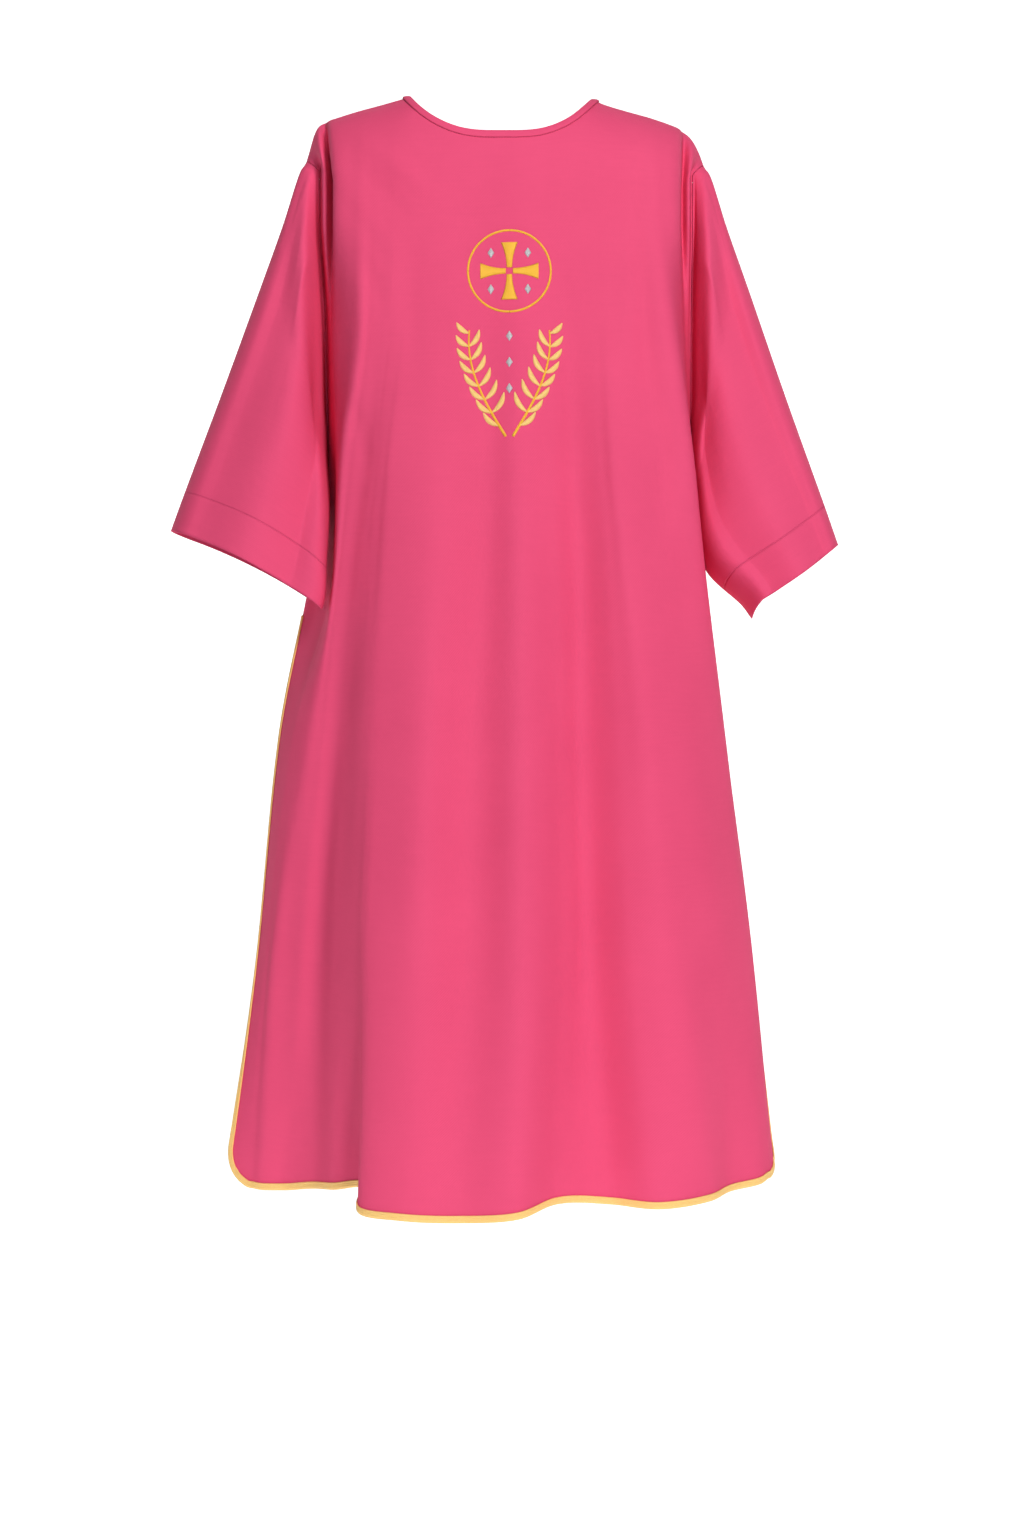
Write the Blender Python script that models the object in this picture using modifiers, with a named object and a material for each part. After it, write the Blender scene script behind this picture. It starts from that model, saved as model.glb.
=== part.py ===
"""A dalmatic, hollow, hanging as it is worn: front, back, two sleeves, neck binding and braid.

Metres, +Z up, +X to the viewer's right, +Y towards the wearer's back.  The origin is the centre
of the neck opening at the height of the shoulder seams.

Each panel is a sheet that falls from a crest line over the shoulders.  Named drape lines run
down it, one for each ridge, valley and edge of its folds, and say where the cloth lies at seven
heights.  The sleeves are lofted from the armhole to the cuff, and the bindings are folded round
the edges of the panels.
"""

import math
from collections import namedtuple

import bpy
import numpy as np
from mathutils import Vector
from mathutils.bvhtree import BVHTree

# ---------------------------------------------------------------- driving dimensions (metres)
MM = 0.001
WALL = 0.0015
SEAM_GAP = 0.0006
HEM_WIDTH = 0.94
CORNER_RADIUS = 0.045
NECK_HALF_WIDTH = 0.1074
NECK_SQUARENESS = 3.3
FRONT_NECK_REACH = 0.945
BACK_NECK_REACH = 0.72
ARMPIT_Z = -0.430
SLIT_TOP_Z = -0.600
EDGE_STEP = 0.009
BRAID_SHARE = 0.78
NECK_BINDING_STEP = 0.0072
BINDING_WALL = 0.0010
BINDING_GAP = 0.0006
BINDING_FOLD_SHARE = 0.8
NECK_GAP = 0.0014

# ---------------------------------------------------------------- how the sheets are divided
FRONT_COLUMN_STEP = 0.038
BACK_COLUMN_STEP = 0.048
LINE_CLEARANCE = 0.009
NECK_STOPS = (0.014, 0.045, 0.095, 0.17)
NECK_SPREAD = 0.012
NECK_SPREAD_REACH = 0.050
NECK_SPREAD_SPEED = 1.4
CURVE_SAMPLES = 2001
NECK_SAMPLES = 721

# Heights at which the drape lines are given.
LEVEL_Z = (-0.160, -0.280, -0.430, -0.560, -0.750, -1.020, -1.280)

# Shares of the way round the shoulder, and of the way from there to the armpit.
SHOULDER_SHARES = (0.0, 0.08, 0.17, 0.28, 0.42, 0.60, 0.80, 1.0)
ARMHOLE_SHARES = (0.14, 0.34, 0.56, 0.76, 0.91, 1.0)
# Heights of the rows below the armpit, then their heights above the hem.
SKIRT_ROWS_Z = (-0.490, -0.550, SLIT_TOP_Z, -0.640, -0.710, -0.800, -0.890, -0.980, -1.070)
HEM_ROWS = (0.130, 0.080, CORNER_RADIUS, 0.030, 0.019, EDGE_STEP, 0.0)

# The line over both shoulders that the panels fall from, as (x, z) in millimetres.
CREST_LINE = ((-229, -75.5), (-225, -62), (-219, -43), (-213, -33.5), (-203, -28.5),
              (-193.5, -25.9), (-170, -18.8), (-143, -11.8), (-117, -4.7), (-107.4, -2), (-76, 1.5),
              (-16, 3.5), (54, 1), (81, -1.5), (107.4, -5.5), (123, -11.3), (149, -18.8),
              (175, -25.9), (197, -33), (210, -38), (220, -45), (228.5, -57), (234.5, -69),
              (238.5, -80))

# One row for each drape line, in millimetres.  `across` is its share of the cloth's width,
# `crest` is (x, how far it falls as it rounds the shoulder), the heights hold (x, y), and
# `hem` is (x, y, z).
Drape = namedtuple("Drape", "name across crest chest ribs armpit elbow thigh knee hem")

FRONT_DRAPES = (
    Drape("edge_l", 0.0000, (-229, 16), (-211.5, -33), (-205, -18), (-203, 0),
          (-224, 0), (-260.5, 0), (-288, 0), (-327, 0, -1278)),
    Drape("crease_l", 0.0096, (-226, 20), (-209.5, -34), (-203, -20), (-202, -9),
          (-220.5, -9), (-258, -9), (-286, -8), (-319, -5, -1279)),
    Drape("strip_l", 0.0190, (-215, 60), (-205, -62), (-200, -36), (-197.5, -26),
          (-209, -26), (-253, -25), (-282, -18), (-310.5, -10, -1280)),
    Drape("trough_l", 0.0290, (-209, 75), (-196, -48), (-197, -47), (-193, -42),
          (-199, -46), (-247, -40), (-278, -27), (-303, -14, -1280)),
    Drape("pit_l", 0.0560, (-197, 88), (-190, -96), (-191, -70), (-189.5, -68),
          (-193, -76), (-237, -62), (-272, -38), (-292, -20, -1280)),
    Drape("ridge_l", 0.0800, (-165, 100), (-166, -110), (-165, -116), (-183, -104),
          (-190, -101), (-222, -85), (-264, -52), (-280, -28, -1281)),
    Drape("face_l", 0.1080, (-146, 100), (-147, -114), (-150, -121), (-170, -112),
          (-184, -106), (-207, -93), (-236, -66), (-252, -38, -1280)),
    Drape("valley_l", 0.1460, (-130, 100), (-132, -116.4), (-138, -124), (-156, -118),
          (-172, -112), (-193, -98), (-213, -76), (-222, -60, -1275)),
    Drape("under_fold", 0.2100, (-118, 100), (-119.5, -118.6), (-126, -127), (-143, -127),
          (-158, -125), (-177, -114), (-190, -112), (-190, -102, -1270)),
    Drape("fold_rise", 0.2680, (-106, 100), (-108, -119.9), (-114, -129.2), (-131, -135),
          (-142, -140), (-155, -149), (-164, -154), (-154, -132, -1264)),
    Drape("fold_edge", 0.3260, (-92, 100), (-95, -120.9), (-101, -131.2), (-117, -142),
          (-125, -153), (-131, -168), (-144, -185), (-157, -190, -1284)),
    Drape("broad_ridge", 0.3790, (-66, 100), (-68, -121.9), (-72, -134.2), (-78, -150),
          (-80, -167), (-85, -186), (-95, -207), (-112, -214, -1288)),
    Drape("valley_mid", 0.4500, (-16, 100), (-16, -122), (-16, -133), (-16, -145),
          (-19, -154), (-28, -169), (-34, -191), (-46, -212, -1291)),
    Drape("ridge_mid", 0.5200, (23, 100), (24, -124), (23, -138), (20, -153),
          (22, -167), (24, -186), (26, -207), (19, -220, -1286)),
    Drape("flank", 0.5840, (54, 100), (56, -122.8), (56, -134), (55, -143),
          (60, -150), (66, -156), (70, -164), (62, -168, -1277)),
    Drape("valley_r", 0.6640, (81, 100), (83, -121.2), (84, -130.5), (86, -131),
          (93, -133), (98, -139), (106, -143), (124, -140, -1281)),
    Drape("swell_r", 0.7270, (107.4, 100), (104, -119.6), (107, -130.2), (113, -139),
          (124, -148), (136, -156), (150, -165), (176, -164, -1283)),
    Drape("ridge_r", 0.8050, (125, 100), (124, -117.6), (128, -129.6), (136, -143),
          (152, -150), (176, -157), (206, -158), (238, -130, -1279)),
    Drape("valley_far", 0.8660, (153, 100), (152, -113.6), (159, -125), (178, -124),
          (196, -122), (222, -117), (252, -106), (266, -84, -1274)),
    Drape("ridge_far", 0.9140, (180, 98), (184, -107.5), (198, -114), (219, -107),
          (233, -95), (258, -62), (284, -60), (302, -56, -1270)),
    Drape("pit_r", 0.9420, (207, 88), (205, -89), (210, -66), (221, -70),
          (235, -70), (261, -35), (293, -40), (312, -42, -1266)),
    Drape("trough_r", 0.9650, (216, 75), (211, -48), (214.5, -46), (221.5, -42),
          (236.5, -48), (260, -22), (295.5, -28), (317, -33, -1266)),
    Drape("strip_r", 0.9750, (224, 60), (217.5, -60), (219, -36), (222, -28),
          (237.5, -30), (258, -12), (296, -18), (320.5, -24, -1266)),
    Drape("crease_r", 0.9904, (235.5, 20), (221.5, -34), (220.5, -21), (222.5, -9),
          (238, -10), (254, -1), (294, -3), (323.5, -12, -1266)),
    Drape("edge_r", 1.0000, (238.5, 16), (223.5, -33), (222.5, -20), (223, 0),
          (238.5, 0), (252, 7), (291.5, 5), (323.5, -3, -1266)),
)

BACK_DRAPES = (
    Drape("edge_l", 0.0000, (-229, 16), (-211.5, 33), (-205, 18), (-203, 0),
          (-224, 0), (-252, 16), (-268, 22), (-292, 26, -1276)),
    Drape("crease_l", 0.0096, (-226, 20), (-209.5, 34), (-203, 20), (-202.5, 9),
          (-223.5, 10), (-251.5, 25), (-267.5, 31), (-291.5, 35, -1276)),
    Drape("tuck_l", 0.0230, (-215, 50), (-204.5, 48), (-200, 40), (-200.5, 29),
          (-220, 31), (-248, 44), (-265, 52), (-288, 54, -1276)),
    Drape("turn_l", 0.0500, (-206, 80), (-196, 66), (-198, 62), (-197, 52),
          (-211, 56), (-243, 68), (-260, 76), (-282, 78, -1276)),
    Drape("blade_l", 0.1500, (-160, 100), (-152, 106), (-156, 110), (-160, 106),
          (-168, 116), (-196, 132), (-212, 142), (-232, 148, -1278)),
    Drape("fold_l", 0.2600, (-125, 100), (-112, 118), (-112, 128), (-112, 134),
          (-116, 148), (-128, 170), (-142, 194), (-158, 214, -1282)),
    Drape("valley_l", 0.3600, (-84, 100), (-66, 116), (-66, 120), (-64, 122),
          (-66, 130), (-72, 142), (-80, 156), (-90, 166, -1280)),
    Drape("spine", 0.4900, (0, 100), (0, 112), (0, 119), (0, 129),
          (0, 143), (2, 166), (4, 190), (6, 208, -1284)),
    Drape("valley_r", 0.6200, (84, 100), (66, 116), (66, 120), (66, 122),
          (70, 129), (76, 140), (84, 154), (94, 164, -1280)),
    Drape("fold_r", 0.7300, (127, 100), (114, 118), (114, 128), (118, 134),
          (124, 148), (136, 170), (152, 192), (168, 210, -1281)),
    Drape("blade_r", 0.8500, (166, 100), (158, 106), (162, 110), (172, 106),
          (184, 116), (206, 134), (226, 148), (246, 154, -1275)),
    Drape("turn_r", 0.9500, (214, 80), (208, 66), (211, 62), (217, 52),
          (231, 56), (250, 78), (274, 90), (294, 100, -1270)),
    Drape("tuck_r", 0.9770, (224, 50), (216.5, 48), (217, 40), (220.5, 29),
          (236, 31), (252.5, 54), (278, 66), (298, 78, -1269)),
    Drape("crease_r", 0.9904, (235.5, 20), (221.5, 34), (220.5, 21), (222.5, 9),
          (238, 10), (252.5, 32), (279, 44), (299.5, 58, -1269)),
    Drape("edge_r", 1.0000, (238.5, 16), (223.5, 33), (222.5, 20), (223, 0),
          (238.5, 0), (252.5, 23), (279.5, 35), (300, 49, -1269)),
)

# One row for each ring of a sleeve past its armhole, in millimetres.  `along` is its share of
# the way to the cuff, `top` is the folded top edge and `under` the underarm seam (x, y, z);
# `front` and `back` are how far the walls stand off the line between them near the top, in the
# middle and near the seam, `dip` is how far the seam drops below that line, and `rise` is how
# far the middle of the walls is lifted.
Ring = namedtuple("Ring", "along top under front back dip rise")
RING_KNOTS = (0.2, 0.5, 0.8)

LEFT_RINGS = (
    Ring(0.32, (-271, 0, -192), (-202.5, -48, -482), (52, 64, 36), (44, 60, 46), 0, 0),
    Ring(0.66, (-330, -6, -356), (-200.5, -88, -550), (54, 62, 26), (46, 66, 52), 1, 3),
    Ring(0.90, (-375, -16, -480), (-202, -95, -592), (54, 60, 24), (46, 66, 50), 2, 6),
    Ring(1.00, (-386, -20, -512), (-205, -97, -604), (52, 58, 23), (46, 64, 46), 3, 8),
)
RIGHT_RINGS = (
    Ring(0.32, (279, 0, -192), (235, -15, -478), (52, 70, 52), (44, 58, 46), 2, 0),
    Ring(0.66, (337, -6, -362), (246, -20, -550), (56, 74, 58), (46, 62, 46), 6, -1),
    Ring(0.90, (382, -16, -492), (284, -24, -588), (54, 72, 58), (46, 60, 44), 12, -3),
    Ring(1.00, (394, -20, -528), (294, -25, -599), (52, 70, 56), (46, 58, 42), 15, -4),
)

# One row for each ring of a sleeve's head: its share of the way to the cuff, and how far in
# millimetres it stands away from the armhole and opens to the front and back.
Head = namedtuple("Head", "along away opening")

SLEEVE_HEAD = (
    Head(0.0, 0.0, 0.0),
    Head(0.012, 2.2, 0.0),
    Head(0.045, 4.9, 16.0),
    Head(0.10, 11.8, 36.0),
)

# Which way the sleeve leaves the armhole at its top, the share of the armhole over which that
# turns to straight sideways, and the shares over which the head starts to open.
SLEEVE_TOP_LEAN = (0.35, 0.0, -0.94)
SLEEVE_TOP_SHARE = 0.16
SLEEVE_OPEN_START = 0.10
SLEEVE_OPEN_RUN = 0.30
SLEEVE_EDGE_SHARE = 0.14
# How much of the head's standing away is kept at the seam, left and right, and the shares of
# the armhole over which it fades to that.
LEFT_SEAM_HOLD = 0.28
RIGHT_SEAM_HOLD = 1.0
SEAM_HOLD_START = 0.78
# Shares of the way from armhole to cuff at which the sleeve has rings of points.
SLEEVE_STATIONS = (0.0, 0.012, 0.045, 0.10, 0.16, 0.24, 0.32, 0.43, 0.54, 0.66, 0.78, 0.90,
                   0.955, 1.0)

# Looks of the seven pieces.
CLOTH_COLOUR = (0.62, 0.075, 0.180, 1.0)
BRAID_COLOUR = (0.93, 0.56, 0.14, 1.0)


# ---------------------------------------------------------------- curves and surfaces
def slopes_through(steps, chords, even):
    """Slopes at the knots of a cubic curve; `even` keeps it from passing beyond its knots."""
    slopes = np.vstack([chords[:1], np.zeros_like(chords[1:]), chords[-1:]])
    before = steps[:-1, None]
    after = steps[1:, None]
    left = chords[:-1]
    right = chords[1:]
    if not even:
        slopes[1:-1] = (left * after + right * before) / (before + after)
        return slopes
    same_way = left * right > 0
    first = np.where(same_way, left, 1)
    second = np.where(same_way, right, 1)
    near = 2 * after + before
    far = after + 2 * before
    slopes[1:-1] = np.where(same_way, (near + far) / (near / first + far / second), 0)
    return slopes


def smooth_through(knots, values, wanted, even=False):
    """Cubic curve through `values` at `knots`, read at `wanted`."""
    knots = np.asarray(knots, float)
    values = np.asarray(values, float)
    wanted = np.clip(np.asarray(wanted, float), knots[0], knots[-1])
    steps = np.diff(knots)
    slopes = slopes_through(steps, np.diff(values, axis=0) / steps[:, None], even)
    cell = np.clip(np.searchsorted(knots, wanted, side="right") - 1, 0, len(steps) - 1)
    width = steps[cell][:, None]
    t = ((wanted - knots[cell])[:, None]) / width
    start = values[cell] * (1 + 2 * t) * (1 - t) ** 2 + slopes[cell] * width * t * (1 - t) ** 2
    end = values[cell + 1] * t * t * (3 - 2 * t) - slopes[cell + 1] * width * t * t * (1 - t)
    return start + end


class Panel:
    """The front or back sheet, as a surface over (share across, height)."""

    def __init__(self, drapes, facing, neck_reach):
        """Read the drape lines; `facing` is -1 for the front and +1 for the back."""
        self.facing = facing
        self.neck_reach = neck_reach
        self.knots = [line.across for line in drapes]
        self.crests = np.array([line.crest for line in drapes]) * MM
        self.hems = np.array([line.hem[2] for line in drapes])[:, None] * MM
        levels = [[line.chest, line.ribs, line.armpit, line.elbow, line.thigh, line.knee,
                   line.hem[:2]] for line in drapes]
        self.levels = np.array(levels) * MM

    def crest(self, across):
        """Crest x, crest z and shoulder fall at each share across."""
        x, fall = smooth_through(self.knots, self.crests, across).T
        line_x, line_z = np.array(CREST_LINE).T * MM
        z = smooth_through(line_x, line_z[:, None], x)[:, 0]
        return np.column_stack([x, z, fall])

    def hem_z(self, across):
        """Height of the hem at each share across."""
        return smooth_through(self.knots, self.hems, across)[:, 0]

    def plan(self, across, z):
        """Plan position (x, y) of the hanging cloth at each share across and height."""
        flat = self.levels.reshape(len(self.knots), -1)
        by_level = smooth_through(self.knots, flat, across).reshape(len(across), -1, 2)
        heights = -np.array(LEVEL_Z)
        spots = []
        for column, level in zip(by_level, -np.asarray(z)):
            spots.append(smooth_through(heights, column, [level], even=True)[0])
        return np.array(spots)

    def hang(self, across, z):
        """Points of the cloth below the shoulder."""
        spots = self.plan(across, z)
        y = spots[:, 1] + self.facing * SEAM_GAP / 2
        return np.column_stack([spots[:, 0], y, z])

    def shoulder(self, across, turn):
        """Points on the shoulder, where the cloth has turned by `turn` from level to upright."""
        crest = self.crest(across)
        z = crest[:, 1] - crest[:, 2] * (1 - np.cos(turn))
        spots = self.plan(across, z)
        x = crest[:, 0] + (spots[:, 0] - crest[:, 0]) * (1 - np.cos(turn))
        y = spots[:, 1] * np.sin(turn) + self.facing * SEAM_GAP / 2
        return np.column_stack([x, y, z])

    def across_at(self, x):
        """Share across at which the crest has the given x."""
        shares = np.linspace(0, 1, CURVE_SAMPLES)
        return np.interp(x, self.crest(shares)[:, 0], shares)

    def neckline(self, shares):
        """Share across and turn of the neckline at shares of the way across it, left to right.

        The steep ends are long for their width, so a share is half width and half length.
        """
        angle = np.linspace(math.pi, 0, NECK_SAMPLES)
        power = 2 / NECK_SQUARENESS
        x = NECK_HALF_WIDTH * np.sign(np.cos(angle)) * np.abs(np.cos(angle)) ** power
        turn = np.arcsin(self.neck_reach * np.clip(np.sin(angle), 0, 1) ** power)
        across = self.across_at(x)
        line = self.shoulder(across, turn)
        run = np.concatenate([[0], np.cumsum(np.linalg.norm(np.diff(line, axis=0), axis=1))])
        length = run / run[-1]
        width = (x - x[0]) / (x[-1] - x[0])
        wanted = (shares + np.interp(shares, width, length)) / 2
        return np.interp(wanted, length, across), np.interp(wanted, length, turn)


def unit(vectors):
    """The same directions with length one."""
    return vectors / np.linalg.norm(vectors, axis=-1, keepdims=True)


def round_corners(across, above):
    """Bend the square bottom corners of the cloth's grid into quarter circles."""
    across = across.copy()
    above = above.copy()
    for side in (0, 1):
        inset = across * HEM_WIDTH if side == 0 else (1 - across) * HEM_WIDTH
        p = CORNER_RADIUS - inset
        q = CORNER_RADIUS - above
        near = (p > 0) & (q > 0)
        reach = np.maximum(p, q)[near]
        swing = math.pi / 4 * np.minimum(p, q)[near] / reach
        along_p = np.where(p[near] >= q[near], np.cos(swing), np.sin(swing)) * reach
        along_q = np.where(p[near] >= q[near], np.sin(swing), np.cos(swing)) * reach
        new_inset = (CORNER_RADIUS - along_p) / HEM_WIDTH
        across[near] = new_inset if side == 0 else 1 - new_inset
        above[near] = CORNER_RADIUS - along_q
    return across, above


def column_shares(drapes, panel, widest):
    """Shares across for the columns: the drape lines, parts of wide gaps, and the neck ends."""
    left_neck, right_neck = panel.across_at([-NECK_HALF_WIDTH, NECK_HALF_WIDTH])
    stops = NECK_HALF_WIDTH * (2 * np.array(NECK_STOPS) - 1)
    fixed = [left_neck, *panel.across_at(stops), *panel.across_at(-stops), right_neck]
    lines = [line.across for line in drapes]
    clear = [share for share in lines
             if min(abs(share - spot) for spot in fixed) > LINE_CLEARANCE]
    lines = sorted(clear + fixed)
    shares = list(lines)
    for left, right in zip(lines[:-1], lines[1:]):
        parts = math.ceil((right - left) / widest)
        shares += [left + (right - left) * k / parts for k in range(1, parts)]
    return np.array(sorted(shares)), (left_neck, right_neck)


def top_edge(panel, across, neck):
    """Share across and turn of the top edge: level with the crest, or cut by the neckline."""
    left, right = neck
    inside = (across >= left - 1e-9) & (across <= right + 1e-9)
    start_across = across.copy()
    start_turn = np.zeros(len(across))
    low = panel.crest(across[inside])[:, 0]
    shares = (low - low[0]) / (low[-1] - low[0])
    start_across[inside], start_turn[inside] = panel.neckline(shares)
    return start_across, start_turn


def neck_spread(panel, across, neck):
    """Sideways room made for the columns beside the neck, where the neckline turns back."""
    x = panel.crest(across)[:, 0]
    spread = np.zeros(len(across))
    for end, side in zip(neck, (-1.0, 1.0)):
        gap = (x - panel.crest([end])[0, 0]) * side
        most = np.where(gap > -1e-6, NECK_SPREAD, NECK_SPREAD / 2)
        spread += side * most * np.clip(1 - np.abs(gap) / NECK_SPREAD_REACH, 0, 1)
    return spread


def panel_grid(panel, across, neck):
    """Grid of points, rows from the top edge to the hem, and the indices of its named rows."""
    start_across, start_turn = top_edge(panel, across, neck)
    spread = neck_spread(panel, across, neck)
    rows = []
    for share in SHOULDER_SHARES:
        moved = start_across + (across - start_across) * share
        row = panel.shoulder(moved, start_turn + (math.pi / 2 - start_turn) * share)
        row[:, 0] += spread * math.sin(math.pi * min(share * NECK_SPREAD_SPEED, 1.0))
        rows.append(row)
    crest = panel.crest(across)
    fallen = crest[:, 1] - crest[:, 2]
    for share in ARMHOLE_SHARES:
        rows.append(panel.hang(across, fallen + (ARMPIT_Z - fallen) * share))
    armpit_row = len(rows) - 1
    for height in SKIRT_ROWS_Z:
        rows.append(panel.hang(across, np.full(len(across), height)))
    slit_row = armpit_row + 1 + SKIRT_ROWS_Z.index(SLIT_TOP_Z)
    for above in HEM_ROWS:
        bent, lift = round_corners(across, np.full(len(across), above))
        rows.append(panel.hang(bent, panel.hem_z(bent) + lift))
    return np.array(rows), armpit_row, slit_row


# ---------------------------------------------------------------- sleeves
def armhole_loop(front, back, armpit_row, column):
    """Armhole edge from the shoulder down the front to the armpit and up the back."""
    down = front[:armpit_row + 1, column].copy()
    up = back[:armpit_row + 1, column].copy()
    middle_top = (down[0] + up[0]) / 2
    middle_low = (down[-1] + up[-1]) / 2
    return np.vstack([[middle_top], down[1:-1], [middle_low], up[-2:0:-1]])


def loop_shares(loop, count):
    """Share of the way from the top (0) to the seam (1) at each point of an armhole loop."""
    half = loop[:count]
    run = np.concatenate([[0], np.cumsum(np.linalg.norm(np.diff(half, axis=0), axis=1))])
    down = run / run[-1]
    return np.concatenate([down, down[-2:0:-1]])


def rounded_edge(share):
    """0 on the folded edges of a flattened tube, 1 away from them, with round shoulders."""
    near = np.minimum(share, 1 - share) / SLEEVE_EDGE_SHARE
    return np.sqrt(np.clip(1 - (1 - np.minimum(near, 1)) ** 2, 0, 1))


def ring_points(ring, share, is_front):
    """Points of one sleeve ring at each share from top edge to seam."""
    top = np.array(ring.top) * MM
    under = np.array(ring.under) * MM
    spots = top + (under - top) * share[:, None]
    depths = np.array([ring.front, ring.back]).T * MM
    front, back = smooth_through(RING_KNOTS, depths, share).T
    edge = rounded_edge(share)
    spots[:, 1] += np.where(is_front, -front, back) * edge
    near_seam = np.clip((share - 0.5) * 2, 0, 1)
    spots[:, 2] -= ring.dip * MM * (1 - edge) * near_seam
    spots[:, 2] += ring.rise * MM * np.sin(math.pi * share)
    return spots


def sleeve_grid(front, back, armpit_row, column, rings, side, seam_hold):
    """Grid of a sleeve: rings from the armhole to the cuff, each from the top round to the top."""
    loop = armhole_loop(front, back, armpit_row, column)
    count = armpit_row + 1
    share = loop_shares(loop, count)
    is_front = np.arange(len(loop)) < count
    lean = np.array(SLEEVE_TOP_LEAN) * (side, 1, 1)
    turned = np.clip(share / SLEEVE_TOP_SHARE, 0, 1)[:, None]
    away = unit(lean * (1 - turned) + np.array([side, 0.0, 0.0]) * turned)
    inner = armhole_loop(front, back, armpit_row, column + (1 if column == 0 else -1))
    facing = np.sum(unit(loop - inner) * away, axis=1)[:, None]
    start = loop + away * (SEAM_GAP + WALL * np.sqrt(np.clip(1 - facing ** 2, 0, 1)))
    opened = np.clip((share - SLEEVE_OPEN_START) / SLEEVE_OPEN_RUN, 0, 1) * rounded_edge(share)
    opening = np.zeros_like(loop)
    opening[:, 1] = np.where(is_front, -opened, opened)
    late = np.clip((share - SEAM_HOLD_START) / (1 - SEAM_HOLD_START), 0, 1)[:, None]
    held = away * (1 - (1 - seam_hold) * late * late * (3 - 2 * late))
    sections = [start + (held * head.away + opening * head.opening) * MM for head in SLEEVE_HEAD]
    sections += [ring_points(ring, share, is_front) for ring in rings]
    stations = [row.along for row in SLEEVE_HEAD + rings]
    flat = np.array(sections).reshape(len(sections), -1)
    grid = smooth_through(stations, flat, SLEEVE_STATIONS)
    return grid.reshape(len(SLEEVE_STATIONS), len(loop), 3)


# ---------------------------------------------------------------- meshes
def make_material(name, colour, roughness):
    """A plain principled material."""
    material = bpy.data.materials.new(name)
    material.use_nodes = True
    shader = material.node_tree.nodes["Principled BSDF"]
    shader.inputs["Base Color"].default_value = colour
    shader.inputs["Roughness"].default_value = roughness
    shader.inputs["Metallic"].default_value = 0.0
    return material


def make_object(name, points, faces, material, collection):
    """An object with the given mesh, shaded smooth, in the collection."""
    mesh = bpy.data.meshes.new(name)
    mesh.from_pydata([tuple(point) for point in points], [], faces)
    mesh.validate()
    mesh.shade_smooth()
    mesh.materials.append(material)
    piece = bpy.data.objects.new(name, mesh)
    collection.objects.link(piece)
    return piece


def grid_faces(rows, columns, closed, flipped):
    """Quads of a grid whose points run row by row; `closed` joins its last column to the first."""
    faces = []
    span = columns if closed else columns - 1
    for row in range(rows - 1):
        for column in range(span):
            following = (column + 1) % columns
            quad = (row * columns + column, (row + 1) * columns + column,
                    (row + 1) * columns + following, row * columns + following)
            faces.append(quad[::-1] if flipped else quad)
    return faces


def grid_normals(grid, closed, flipped):
    """Unit normals at the points of a grid, pointing out of the garment."""
    if closed:
        around = np.roll(grid, -1, axis=1) - np.roll(grid, 1, axis=1)
    else:
        around = np.gradient(grid, axis=1)
    down = np.gradient(grid, axis=0)
    normals = unit(np.cross(down, around))
    return -normals if flipped else normals


def make_sheet(name, grid, closed, flipped, material, collection):
    """A sheet of cloth: the open grid with its wall added half to each side."""
    rows, columns = grid.shape[:2]
    faces = grid_faces(rows, columns, closed, flipped)
    sheet = make_object(name, grid.reshape(-1, 3), faces, material, collection)
    wall = sheet.modifiers.new("Wall", "SOLIDIFY")
    wall.thickness = WALL
    wall.offset = 0.0
    wall.use_quality_normals = True
    return sheet


def binding_sections(edge, inner, normals, gap=BINDING_GAP):
    """Sections of a strip folded over an edge: eight corners at each station of the edge."""
    out = unit(edge - inner)
    near = WALL / 2 + gap
    far = near + BINDING_WALL
    fold = far * BINDING_FOLD_SHARE
    inside = inner + out * gap
    return np.stack([inside + normals * near, inside + normals * far,
                     edge + out * fold + normals * far,
                     edge + out * fold - normals * far,
                     inside - normals * far, inside - normals * near,
                     edge + out * gap - normals * near,
                     edge + out * gap + normals * near], axis=1)


def make_binding(name, sections, closed, material, collection):
    """A closed body lofted through binding sections, with end caps unless it is a loop."""
    count, corners = sections.shape[:2]
    faces = []
    spans = count if closed else count - 1
    for station in range(spans):
        following = (station + 1) % count
        for corner in range(corners):
            after = (corner + 1) % corners
            faces.append((station * corners + corner, following * corners + corner,
                          following * corners + after, station * corners + after))
    if not closed:
        halves = ((0, 1, 2, 7), (7, 2, 3, 6), (6, 3, 4, 5))
        last = (count - 1) * corners
        faces += [tuple(half) for half in halves]
        faces += [tuple(last + corner for corner in half[::-1]) for half in halves]
    return make_object(name, sections.reshape(-1, 3), faces, material, collection)


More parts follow.
